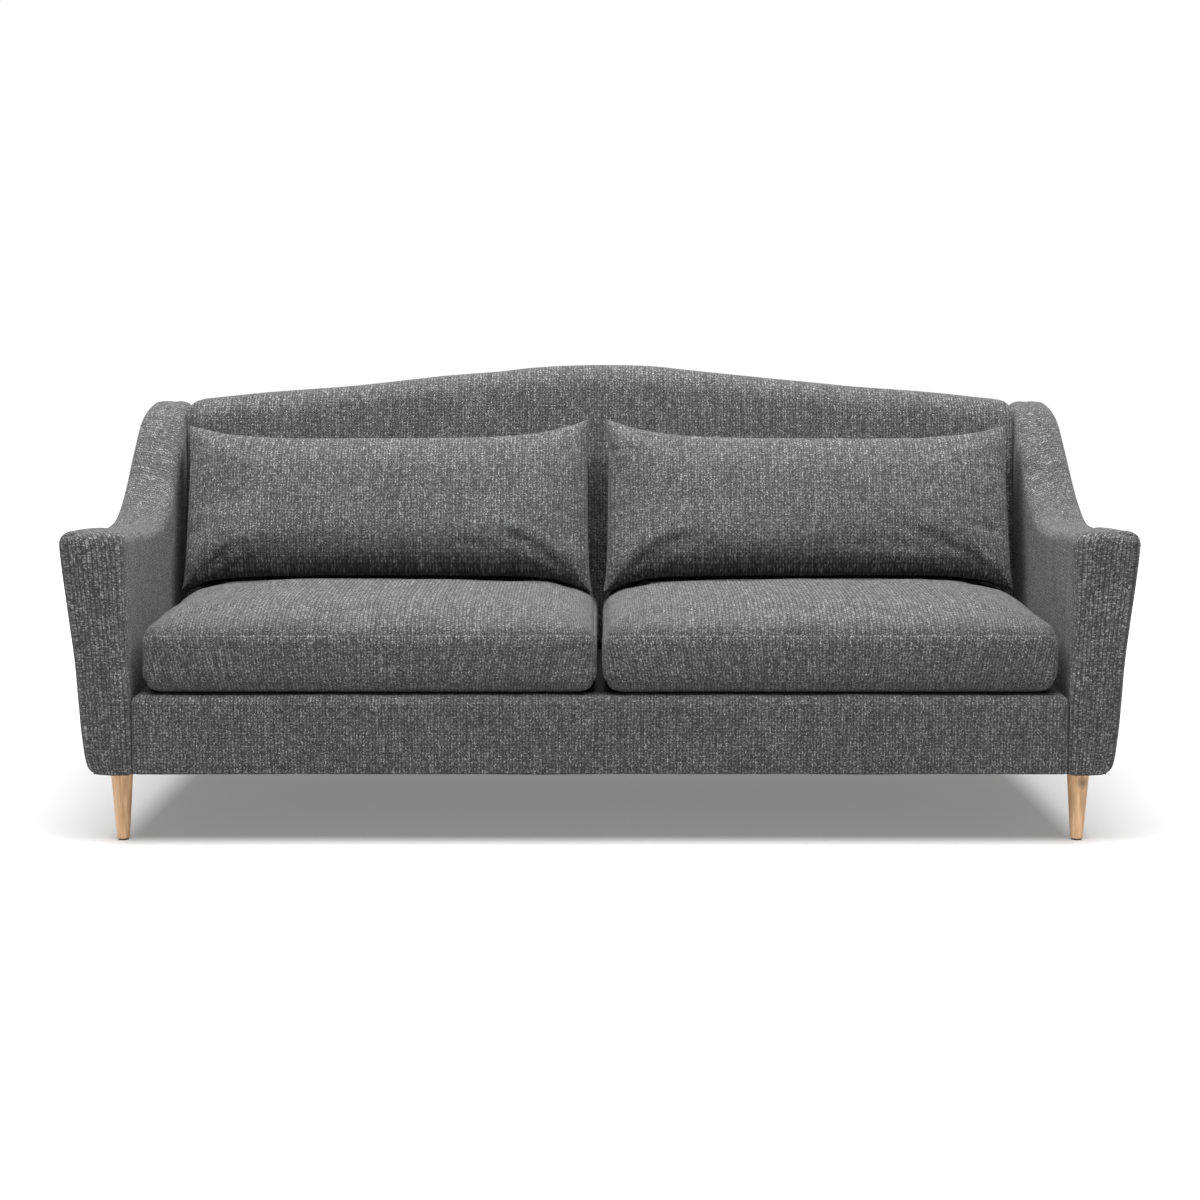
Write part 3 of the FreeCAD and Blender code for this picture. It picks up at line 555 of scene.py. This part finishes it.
GREY = (0.0480, 0.0480, 0.0484)
OAK_DARK, OAK_LIGHT = (0.43, 0.225, 0.095), (0.80, 0.51, 0.29)
LEG_KNOT = (0.9560, -0.4160, 0.1180)  # high on the right front leg
FINISHES = {
    "upholstery": woven_cloth("fabric_grey", GREY),
    "deck_cloth": strap_weave("deck_cloth_woven", (0.030, 0.030, 0.031), 0.0016),
    "dust_cloth": speckled("dust_cloth_felt", (0.012, 0.012, 0.013), 900.0, 0.95, contrast=0.5),
    "foam": speckled("foam_cells", (0.62, 0.58, 0.42), 700.0, 0.95, contrast=0.15, depth=0.0006),
    "filling": speckled("filling_fibre", (0.75, 0.75, 0.74), 350.0, 0.95, contrast=0.12, depth=0.0010),
    "plywood": wood("plywood_birch", (0.42, 0.29, 0.16), (0.60, 0.45, 0.28), 180.0, 8.0, 0.7),
    "frame_timber": wood("timber_pine", (0.48, 0.30, 0.14), (0.66, 0.47, 0.26), 150.0, 150.0, 0.7, 0),
    "leg_wood": wood("oak_pale", OAK_DARK, OAK_LIGHT, knot=LEG_KNOT),
    "webbing": strap_weave("webbing_woven", (0.10, 0.10, 0.10), 0.0030),
    "spring_steel": speckled("spring_steel_drawn", (0.22, 0.22, 0.23), 500.0, 0.35, 1.0, 0.2),
    "zinc_steel": speckled("zinc_steel_plated", (0.60, 0.61, 0.63), 300.0, 0.32, 1.0, 0.15),
    "nylon": speckled("nylon_moulded", (0.035, 0.035, 0.037), 800.0, 0.5, contrast=0.3),
    "zip": strap_weave("zip_coil", (0.055, 0.055, 0.057), 0.0013),
    "zip_metal": speckled("zip_slider_cast", (0.10, 0.10, 0.105), 600.0, 0.35, 1.0, 0.15),
}


# Back, outside back, front border, deck and dust sheet


def ring(low, high, fine):
    """Points round a rectangle from its corner low to its corner high, as (y, z), about fine apart."""
    (y0, z0), (y1, z1) = low, high
    corners = np.array([(y1, z0), (y0, z0), (y0, z1), (y1, z1), (y1, z0)])
    out = []
    for a, b in zip(corners[:-1], corners[1:]):
        n = max(2, int(np.linalg.norm(b - a) / fine))
        out += [a + (b - a) * t for t in np.arange(n) / n]
    return np.array(out + [out[0]])


def with_ends(places, inset):
    """Places across a piece, with two more at each end, and how far each one's ring steps in over the end."""
    insets = np.concatenate([[inset, inset / 2], np.zeros(len(places)), [inset / 2, inset]])
    return zip(np.concatenate([[-1, -1], places, [1, 1]]), insets)


def tucked_end(z):
    """Half the width of a piece between the arms, whose rounded ends go a little way into them."""
    return inner_x(z) + TUCK


def back_field(p):
    """The back as upholstered, with a rounded crest that follows the camel line."""
    x, y, z = p[..., 0], p[..., 1], p[..., 2]
    wide = np.abs(x)
    slope = (camel(wide + 1e-3) - camel(wide - 1e-3)) / 2e-3
    body = meet((back_front_y(z) - y) / 1.02, (z - camel(wide)) / np.hypot(1, slope), 0.045)
    body = meet(body, y - rear_y(z), BACK_ROUND)
    body = meet(body, wide - tucked_end(z), BACK_ROUND)
    return meet(body, BACK_FOOT - z, 0.010)


def back():
    """The back's front and crest, closed behind by a flat wall under the outside back panel."""
    columns, wall = [], PANEL_THICK + 0.0005
    ends = list(with_ends(spread(-1, 1, 133, 0.3), BACK_ROUND))
    for s, inset in ends:
        high = float(camel(abs(s) * 0.924))
        path = [(back_front_y(z), z) for z in np.linspace(BACK_FOOT, high, 48)]
        path += [(y, high) for y in np.linspace(back_front_y(high), rear_y(high), 14)[1:]]
        path += [(rear_y(z), z) for z in np.linspace(high, high - REAR_SEAM, 8)[1:]]
        column = []
        for y, z in path:
            y = min(max(y, back_front_y(z) + inset), rear_y(z) - inset)
            z = min(z, high - inset)
            column.append((s * tucked_end(z), y, z))
        columns.append(column)
    grid, uv = laid_panel(np.array(columns), back_field, 10)
    near = lengths_along(grid[:, ::-1], 1)[:, ::-1]
    soft = softness(grid, 21, 0.0022) * np.clip(near / 0.02, 0, 1)
    grid = push(grid, back_field, seam_profile(near) + soft)
    insets = np.array([inset for _, inset in ends])
    seam_x, _, seam_z = (grid[:, -1] - [0, 0, 0.001]).T
    heights = [seam_z * (1 - share) + (BACK_FOOT + 0.004) * share for share in np.linspace(0, 1, 12)]
    behind = [np.stack([seam_x, rear_y(z) - wall - insets, z], -1) for z in heights]
    under = [behind[-1] * (1 - share) + grid[:, 0] * share for share in np.linspace(0, 1, 6)[1:]]
    closing = np.stack([grid[:, -1]] + behind + under, axis=1)
    piece = Cloth().grid(grid, uv).grid(closing, shift=(0.4, 3.1)).make("back_upholstery")
    subdivide(piece)
    close_openings(piece)
    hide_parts("back_cover", "back_padding")


def outside_back():
    """The flat panel that closes the back from behind, seamed under the crest and turned in all round."""
    across, up = np.meshgrid(spread(-1, 1, 97, 0.2), spread(0, 1, 61, 0.3), indexing="ij")
    low = BORDER_LOW[1] + 0.001
    z = low + up * (camel(np.abs(across * 0.9235)) - (REAR_SEAM - 0.0004) - low)
    x = across * (inner_x(z) - 0.0015)
    edge = np.minimum((1 - np.abs(across)) * 0.92, np.minimum(up, 1 - up) * 0.70)
    y = rear_y(z) - 0.0006 + 0.0006 * hash_noise(np.stack([x, z, z * 0], -1), 0.2, 5)
    outer = np.stack([x, y - 0.0020 * np.exp(-((edge / 0.004) ** 2)), z], -1)
    inner = np.stack([x, y - PANEL_THICK, z], -1)
    piece = two_faced(outer, inner, ((0.2, 5.3), (2.9, 5.3), (0.0, 7.0))).make("outside_back_panel")
    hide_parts("outside_back_cover")


def border_field(p):
    """The padded panel under the seat, rounder at its upper corners."""
    x, y, z = p[..., 0], p[..., 1], p[..., 2]
    body = meet(BORDER_LOW[0] - y, z - BORDER_HIGH[1], 0.020)
    body = meet(body, y - BORDER_HIGH[0], 0.006)
    body = meet(body, np.abs(x) - tucked_end(z), np.interp(z, [0.16, 0.26], [0.014, 0.022]))
    return meet(body, BORDER_LOW[1] - z, 0.006)


def border():
    """The long panel under the seat cushions, with a stitched hem along its lower edge."""
    loop = ring(BORDER_LOW, BORDER_HIGH, 0.0052)
    middle, half = (BORDER_LOW + BORDER_HIGH) / 2, (BORDER_HIGH - BORDER_LOW) / 2
    columns = []
    for s, inset in with_ends(spread(-1, 1, 161, 0.5), 0.022):
        shrunk = middle + (loop - middle) * (half - inset) / half
        columns.append([(s * tucked_end(z), y, z) for y, z in shrunk])
    grid = lay(np.array(columns), border_field, 12)
    hem = np.exp(-(((grid[..., 2] - 0.152) / 0.0022) ** 2)) * (grid[..., 1] < -0.45)
    soft = softness(grid, 31) * np.clip((0.918 - np.abs(grid[..., 0])) / 0.02, 0, 1)
    grid = push(grid, border_field, soft - 0.0020 * hem)
    piece = Cloth().grid(grid, shift=(0.0, 9.0)).make("front_border")
    subdivide(piece)
    close_openings(piece)
    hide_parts("front_border_cover", "front_border_padding")


def deck_field(p):
    """The pad over the springs."""
    x, y, z = p[..., 0], p[..., 1], p[..., 2]
    body = meet(DECK_LOW[0] - y, z - DECK_HIGH[1], 0.010)
    body = meet(body, y - DECK_HIGH[0], 0.010)
    body = meet(body, np.abs(x) - DECK_END, 0.008)
    return meet(body, DECK_LOW[1] - z, 0.004)


def seat_deck():
    """The padded deck under the cushions, in lining cloth."""
    loop = ring(DECK_LOW, DECK_HIGH, 0.012)
    columns = [[(s * DECK_END, y, z) for y, z in loop] for s in spread(-1, 1, 93, 0.4)]
    grid = lay(np.array(columns), deck_field, 12)
    ripple = 0.0010 * hash_noise(grid * [1, 1, 0], 0.11, 41) - 0.0006
    grid = push(grid, deck_field, np.minimum(ripple, 0.0008))
    piece = Cloth().grid(grid).make("seat_deck", slot="deck_cloth")
    subdivide(piece)
    close_openings(piece)
    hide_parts("deck_cover", "deck_pad")


def dust_sheet():
    """The cloth stapled under the frame, hanging a little slack between the rails."""
    across, depth = np.meshgrid(spread(-1, 1, 93, 0.2), spread(0, 1, 43, 0.2), indexing="ij")
    y = -0.434 + depth * 0.836
    x = across * (0.972 - TAPER * (y - FRONT))
    uneven = 0.7 + 0.3 * hash_noise(np.stack([x, y, y * 0], -1), 0.2, 47)
    slack = 0.0035 * (1 - across**2) * np.sin(math.pi * depth) * uneven
    low = np.stack([x, y, DUST - slack], -1)
    piece = two_faced(low, low + [0, 0, 0.0016]).make("dust_sheet", slot="dust_cloth")
    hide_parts("dust_cover")


# Cushions


def rounded_box_field(low, high, round_top, round_bottom, corner, crown):
    """A cushion's resting form: a rounded box whose top swells towards its middle."""
    low, high = np.array(low), np.array(high)
    centre, half = (low + high) / 2, (high - low) / 2

    def field(p):
        a, b = (np.abs(p[..., k] - centre[k]) for k in (0, 1))
        bulge = (1 - np.clip(a / half[0], 0, 1) ** 3.4) * (1 - np.clip(b / half[1], 0, 1) ** 3.4)
        plan = meet(a - half[0], b - half[1], corner)
        body = meet(plan, p[..., 2] - (high[2] - crown * (1 - bulge)), round_top)
        return meet(body, low[2] - p[..., 2], round_bottom)

    return field


def box_panel(low, high, rim, steps, top):
    """A panel over a box's top or bottom that comes down its walls to the height rim."""
    level = high[2] if top else low[2]
    lines = []
    for k in (0, 1):
        drop = abs(level - rim)
        run = high[k] - low[k]
        total = run + 2 * drop
        s = spread(0, total, steps[k], 0.25)
        place = np.clip(s - drop, 0, run) + low[k]
        fall = np.maximum(drop - s, 0) + np.maximum(s - drop - run, 0)
        lines.append((place, fall))
    x, y = np.meshgrid(lines[0][0], lines[1][0], indexing="ij")
    fall = np.maximum(*np.meshgrid(lines[0][1], lines[1][1], indexing="ij"))
    return np.stack([x, y, level + (-fall if top else fall)], -1)


def border_ring(grid):
    """A grid's border as one closed loop of points."""
    return np.concatenate([grid[:, 0], grid[-1, 1:], grid[-2::-1, -1], grid[0, -2::-1]])


def set_attribute(mesh, name, values):
    mesh.attributes.new(name, "FLOAT", "POINT").data.foreach_set("value", values)


def get_attribute(mesh, name):
    values = np.empty(len(mesh.vertices))
    mesh.attributes[name].data.foreach_get("value", values)
    return values


def get_coordinates(mesh):
    values = np.empty(len(mesh.vertices) * 3)
    mesh.vertices.foreach_get("co", values)
    return values.reshape(-1, 3)


def set_coordinates(mesh, points):
    mesh.vertices.foreach_set("co", np.ascontiguousarray(points, float).reshape(-1))
    mesh.update()


def get_normals(mesh):
    values = np.empty(len(mesh.vertices) * 3)
    mesh.vertices.foreach_get("normal", values)
    return values.reshape(-1, 3)


def distances_to(points, line):
    """How far each point is from the nearest point of a line of points."""
    tree = KDTree(len(line))
    for i, at in enumerate(line):
        tree.insert(at, i)
    tree.balance()
    return np.array([tree.find(at)[2] for at in points])


CLOTH_SETTINGS = {
    "quality": 5,
    "mass": 0.25,
    "tension_stiffness": 25,
    "compression_stiffness": 25,
    "shear_stiffness": 12,
    "bending_stiffness": 0.6,
    "vertex_group_mass": "held",
    "pin_stiffness": 4,
    "use_pressure": True,
}
FREE_DISTANCE = 0.09  # from a seam, where points may move as far as the cap lets them


def simulate(pieces, pressures, caps, frames=16):
    """Fills pieces by cloth simulation with air pressure. Seams are held, and no point moves past its cap."""
    scene = bpy.context.scene
    scene.frame_start, scene.frame_end = 1, frames
    for piece, pressure in zip(pieces, pressures):
        held = piece.vertex_groups.new(name="held")
        holds = get_attribute(piece.data, "hold")
        for i in np.flatnonzero(holds > 0.01):
            held.add([int(i)], float(holds[i]), "REPLACE")
        cloth = piece.modifiers.new("cloth", "CLOTH")
        for setting, value in CLOTH_SETTINGS.items():
            setattr(cloth.settings, setting, value)
        cloth.settings.uniform_pressure_force = pressure
        cloth.settings.effector_weights.gravity = 0
        cloth.point_cache.frame_start, cloth.point_cache.frame_end = 1, frames
    for frame_number in range(1, frames + 1):
        scene.frame_set(frame_number)
    graph = bpy.context.evaluated_depsgraph_get()
    solved = [get_coordinates(piece.evaluated_get(graph).data) for piece in pieces]
    for piece, points, cap in zip(pieces, solved, caps):
        piece.modifiers.clear()
        start = get_coordinates(piece.data)
        move = points - start
        size = np.linalg.norm(move, axis=1, keepdims=True)
        near = get_attribute(piece.data, "near")
        cap = cap * np.clip(near / FREE_DISTANCE, 0.15, 1)[:, None]
        set_coordinates(piece.data, start + move * (cap * np.tanh(size / cap) / np.maximum(size, 1e-9)))
    scene.frame_set(1)


SEAT_LOW, SEAT_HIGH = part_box("seat_cushion_cover_right")
UPPER_SEAM, LOWER_SEAM = 0.420, 0.319
SEAT_CROWN, SEAT_START = 0.470, 0.465  # the filled cushion's highest point, and where the filling starts from


def seat_cushion(side, seed):
    """A boxed cushion: top and bottom panels seamed to a band, made on the right side and mirrored."""
    low = np.array([SEAT_LOW.x + 0.003, SEAT_LOW.y + 0.003, SEAT_LOW.z + 0.001])
    high = np.array([SEAT_HIGH.x - 0.003, SEAT_HIGH.y - 0.002, SEAT_START])
    field = rounded_box_field(low, high, 0.056, 0.045, 0.028, 0.015)
    steps = (83, 63)
    panels = (box_panel(low, high, UPPER_SEAM, steps, True), box_panel(low, high, LOWER_SEAM, steps, False))
    top, bottom = (relax(lay(panel, field, 14), field, 30) for panel in panels)
    upper, lower = border_ring(top), border_ring(bottom)
    rows = graded(UPPER_SEAM - LOWER_SEAM, 0.011, 0.005, 0.005)[None, :, None]
    band = upper[:, None] * (1 - rows) + lower[:, None] * rows
    band[:, 1:-1] = lay(band[:, 1:-1], field, 4)
    lengths = (np.linspace(0, s, n) for s, n in zip((0.98, 0.74), steps))
    flat = np.stack(np.meshgrid(*lengths, indexing="ij"), -1)
    top, bottom, band = (grid * [side, 1, 1] for grid in (top, bottom, band))
    cloth = Cloth().grid(top, flat, shift=(seed * 0.73, 0.0))
    cloth.grid(bottom, flat, shift=(seed * 0.73, 2.0))
    cloth.grid(band, shift=(seed * 0.41, 4.0))
    piece = cloth.make("seat_cushion_" + SIDES[side], "seat_cushion_" + SIDES[side])
    mesh = piece.data
    points = get_coordinates(mesh)
    seams = np.concatenate([upper, lower]) * [side, 1, 1]
    near = distances_to(points, seams)
    set_attribute(mesh, "near", near)
    set_attribute(mesh, "hold", np.clip(1.2 - near / 0.006, 0, 1) + (points[:, 2] < low[2] + 0.0015))
    lumps = hash_noise(points, 0.13, seed) * 0.0030 + hash_noise(points, 0.055, seed + 2) * 0.0012
    lumps *= np.clip(near / 0.03, 0, 1) * (points[:, 2] > low[2] + 0.01)
    set_coordinates(mesh, points + get_normals(mesh) * lumps[:, None])
    return piece


def settle_seat(piece, side, seed):
    """After filling: finer cloth, sewn seams, and the space the neighbours leave."""
    subdivide(piece)
    mesh = piece.data
    near = get_attribute(mesh, "near")
    points = get_coordinates(mesh)
    pucker = hash_noise(points * [1, 1, 0.5], 0.030, seed + 5) * 0.0010 * np.exp(-near / 0.014)
    points = points + get_normals(mesh) * (seam_profile(near, 0.0016, 0.0026) + pucker)[:, None]
    pulled_in = 0.0045 * np.clip(1 - ((points[:, 1] + 0.13) / 0.32) ** 2, 0, 1)
    low_x, high_x = SEAT_LOW.x - 0.0005 + pulled_in, SEAT_HIGH.x + 0.001 - pulled_in
    points[:, 0] = np.clip(np.abs(points[:, 0]), low_x, high_x) * side
    points[:, 1] = np.clip(points[:, 1], SEAT_LOW.y - 0.004, SEAT_HIGH.y - 0.0004)
    points[:, 2] = np.clip(points[:, 2], SEAT_LOW.z, SEAT_CROWN + 0.004)
    set_coordinates(mesh, points)
    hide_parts("seat_cushion_cover_" + SIDES[side], "seat_cushion_core_" + SIDES[side])


# Loose back cushions: two panels sewn at the rim. From -1 to 1, s runs from the sofa's middle outwards and
# t upwards.

PILLOW_LEAN = math.radians(21.0)
PILLOW_UP = np.array([0.0, math.sin(PILLOW_LEAN), math.cos(PILLOW_LEAN)])
PILLOW_OUT = np.array([0.0, -math.cos(PILLOW_LEAN), math.sin(PILLOW_LEAN)])
PILLOW_FOOT = np.array([0.0, 0.100, 0.470])
PILLOW_HALF = 0.086
ZIP_Y, ZIP_TOP = 0.106, 0.4792  # the zip slider under the cushion, which the cloth covers


def pillow_rim(s, t):
    """Where (s, t) lies in the cushion's plane, as (x, height): its edges sag in between the corners."""
    bottom = 0.008 - np.where(s < 0, 0.044, 0.040) * np.abs(s) ** 9
    corner = np.abs(s) ** 5
    top = 0.316 + corner * np.where(s < 0, 0.046, 0.038) - 0.003 * (s + 1)
    height = bottom + (top - bottom) * (t + 1) / 2
    sides = 1 - np.abs(t) ** 5
    inner = 0.009 + 0.005 * (t + 1) / 2 + 0.009 * sides
    outer = 0.903 - 0.012 * sides
    return inner + (outer - inner) * (s + 1) / 2, height


def back_cushion(side, seed, folds):
    """A knife-edge cushion of two equal panels. A fold is (its height t, the end it starts from, its depth)."""
    s, t = np.meshgrid(spread(-1, 1, 93, 0.45), spread(-1, 1, 47, 0.45), indexing="ij")
    x, height = pillow_rim(s, t)
    rim = np.minimum((1 - np.abs(s)) * 0.44, (1 - np.abs(t)) * 0.20)
    belly = (1 - np.abs(s) ** 13) * (1 - np.abs(t) ** np.where(t < 0, 11.0, 4.6))
    rear_belly = (1 - np.abs(s) ** 26) * (1 - np.abs(t) ** 9)
    swell = np.clip([belly, rear_belly], 0, 1) ** 0.5 * (1.0 - 0.14 * t) * [[[1.0]], [[1.16]]]
    base = np.stack([x, x * 0, x * 0], -1) + PILLOW_FOOT + height[..., None] * PILLOW_UP
    plane = np.stack([x, height, x * 0], -1)
    fold = hash_noise(plane, 0.028, seed) * 0.0045 * np.exp(-rim / 0.030) * np.clip(rim / 0.006, 0, 1)
    waves = hash_noise(plane, 0.15, seed + 3) * 0.006 * np.clip(rim / 0.05, 0, 1)
    for place, end, deep in folds:
        inward = (1 - s * end) * 0.44
        line = np.exp(-(((t - place - 0.10 * inward) * 0.18 / 0.007) ** 2))
        fold = fold - deep * line * np.exp(-inward / 0.055) * np.clip(inward / 0.010, 0, 1)
    cloth = Cloth()
    for k, front in enumerate((1, -1)):
        depth = np.where(rim < 1e-9, 0, front * (PILLOW_HALF * 0.93 * swell[k] + fold + waves))
        grid = base + depth[..., None] * PILLOW_OUT
        cloth.grid(grid * [side, 1, 1], plane[..., :2], shift=(seed * 0.57, 3.0 * k))
    piece = cloth.make("back_cushion_" + SIDES[side], "back_cushion_" + SIDES[side])
    mesh = piece.data
    points = get_coordinates(mesh)
    near = distances_to(points, border_ring(base) * [side, 1, 1])
    set_attribute(mesh, "near", near)
    set_attribute(mesh, "hold", np.clip(1.2 - near / 0.004, 0, 1))
    return piece


def heights_under(points, pieces):
    """How high the given pieces reach below each point."""
    highest = np.full(len(points), -1.0)
    for piece in pieces:
        mesh = piece.data
        tree = BVHTree.FromPolygons([v.co for v in mesh.vertices], [p.vertices for p in mesh.polygons])
        for i, (x, y, _) in enumerate(points):
            hit = tree.ray_cast(Vector((x, y, 1.0)), Vector((0, 0, -1)))[0]
            if hit is not None:
                highest[i] = max(highest[i], hit.z)
    return highest


def settle_pillow(piece, side, seed, seats):
    """After filling: finer cloth, a sewn rim, and the seat and back it leans on."""
    subdivide(piece)
    mesh = piece.data
    near = get_attribute(mesh, "near")
    points = get_coordinates(mesh)
    pucker = hash_noise(points, 0.024, seed + 9) * 0.0016 * np.exp(-near / 0.018) * np.clip(near / 0.004, 0, 1)
    points = points + get_normals(mesh) * pucker[:, None]
    wide, y = np.abs(points[:, 0]), points[:, 1]
    drop = np.clip((0.098 - y) / 0.025, 0, 1) * np.exp(-(((points[:, 2] - 0.480) / 0.040) ** 2))
    points[:, 2] -= 0.020 * drop
    low = np.flatnonzero(points[:, 2] < 0.53)
    floor = heights_under(points[low], seats) + 0.0012
    over_zip = (wide[low] > 0.100) & (wide[low] < 0.825)
    zip_room = ZIP_TOP - 2.5 * np.maximum(np.abs(y[low] - ZIP_Y) - 0.008, 0)
    floor = np.where(over_zip, np.maximum(floor, zip_room), floor)
    points[low, 2] = np.maximum(points[low, 2], floor)
    points[:, 1] = np.minimum(points[:, 1], back_front_y(points[:, 2]) - 0.0015)
    points[:, 0] = np.clip(wide, 0.0015, 0.914) * side - 0.005
    set_coordinates(mesh, points)
    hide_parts("back_cushion_cover_" + SIDES[side], "back_cushion_filling_" + SIDES[side])


# The sofa: each piece's side, the seed of its unevenness, and the back cushions' folds

ARMS = ((1, 3), (-1, 11))
SEATS = ((1, 51), (-1, 64))
RIGHT_FOLDS = [(0.58, -1, 0.008), (-0.12, -1, 0.006), (-0.45, 1, 0.006), (0.35, 1, 0.004)]
LEFT_FOLDS = [(-0.10, 1, 0.008), (-0.42, 1, 0.006), (0.45, 1, 0.004), (0.10, -1, 0.004)]
PILLOWS = ((1, 71, RIGHT_FOLDS), (-1, 86, LEFT_FOLDS))

for side, seed in ARMS:
    arm(side, seed)
back()
outside_back()
border()
seat_deck()
dust_sheet()
seats = [seat_cushion(*given) for given in SEATS]
pillows = [back_cushion(*given) for given in PILLOWS]
simulate(seats + pillows, [2.2, 2.2, 1.6, 1.6], [0.008, 0.008, 0.010, 0.010])
for piece, (side, seed) in zip(seats, SEATS):
    settle_seat(piece, side, seed)
for piece, (side, seed, _) in zip(pillows, PILLOWS):
    settle_pillow(piece, side, seed, seats)

for node in NODES.values():
    for place in node.material_slots:
        place.material = FINISHES[place.material.name.split(".")[0]]

# Floor, light and camera

FLOOR_RADIUS = 9.0


def studio_floor():
    """A round pale floor with painted light: it glows faintly under the sofa, lightening the sofa's shadow
    there, and more away from the sofa, to a white edge.
    """
    rings, spokes = 24, 96
    work = bmesh.new()
    centre = work.verts.new((0, 0, 0))
    previous = None
    for r in np.linspace(FLOOR_RADIUS / rings, FLOOR_RADIUS, rings):
        turns = np.linspace(0, 2 * math.pi, spokes, endpoint=False)
        current = [work.verts.new((math.cos(a) * r, math.sin(a) * r, 0)) for a in turns]
        for i in range(spokes):
            j = (i + 1) % spokes
            if previous is None:
                work.faces.new((centre, current[i], current[j]))
            else:
                work.faces.new((previous[i], current[i], current[j], previous[j]))
        previous = current
    mesh = bpy.data.meshes.new("studio_floor")
    work.to_mesh(mesh)
    work.free()
    floor = bpy.data.objects.new("studio_floor", mesh)
    bpy.context.scene.collection.objects.link(floor)
    f = Finish("floor_white", roughness=0.95)
    x, y, _ = f.place()
    reach = f.math("SQRT", f.math("ADD", f.math("MULTIPLY", x, x), f.math("MULTIPLY", y, y)))
    grain = f.noise(f.math("MULTIPLY", x, 3.0), f.math("MULTIPLY", y, 3.0))
    tone = f.ramp(grain, (0.3, (0.435, 0.435, 0.435)), (0.7, (0.45, 0.45, 0.45)))
    # Painted light: the floor's emission lightens the shadow under the sofa and brightens the floor further
    # out.
    painted_floor_light = f.node("MapRange", {0: reach, 1: 1.5, 2: 3.6, 3: 0.22, 4: 1.1}).outputs[0]
    f.shader.inputs["Emission Color"].default_value = (1, 1, 1, 1)
    f.tree.links.new(painted_floor_light, f.shader.inputs["Emission Strength"])
    mesh.materials.append(f.finish(tone))


def area_light(name, place, target, size, watts):
    lamp = bpy.data.lights.new(name, "AREA")
    lamp.shape = "RECTANGLE"
    lamp.size, lamp.size_y = size
    lamp.energy = watts
    lit = bpy.data.objects.new(name, lamp)
    lit.location = place
    lit.rotation_euler = (Vector(target) - Vector(place)).to_track_quat("-Z", "Y").to_euler()
    bpy.context.scene.collection.objects.link(lit)


def world_light(strength):
    """White where the camera sees it, and softer as light."""
    world = bpy.data.worlds.new("studio")
    world.use_nodes = True
    tree = world.node_tree
    path = tree.nodes.new("ShaderNodeLightPath")
    pick = tree.nodes.new("ShaderNodeMapRange")
    pick.inputs["To Min"].default_value, pick.inputs["To Max"].default_value = strength, 1.0
    tree.links.new(path.outputs["Is Camera Ray"], pick.inputs["Value"])
    tree.links.new(pick.outputs[0], tree.nodes["Background"].inputs["Strength"])
    tree.nodes["Background"].inputs["Color"].default_value = (1, 1, 1, 1)
    bpy.context.scene.world = world


studio_floor()
area_light("overhead_softbox", (0.0, -0.8, 4.2), (0.0, -0.3, 0.0), (6.0, 4.0), 740)
area_light("front_fill", (0.0, -6.0, 2.0), (0.0, 0.0, 0.4), (4.0, 2.5), 30)
world_light(0.22)

CAMERA_PLACE, CAMERA_TILT = (0.0, -5.278, 1.065), 6.84  # degrees below level

camera_data = bpy.data.cameras.new("photo_angle")
camera_data.lens, camera_data.sensor_width = 75.0, 36.0
camera = bpy.data.objects.new("photo_angle", camera_data)
camera.location = CAMERA_PLACE
camera.rotation_euler = (math.radians(90 - CAMERA_TILT), 0.0, 0.0)
bpy.context.scene.collection.objects.link(camera)
bpy.context.scene.camera = camera
bpy.context.scene.view_settings.view_transform = "Standard"
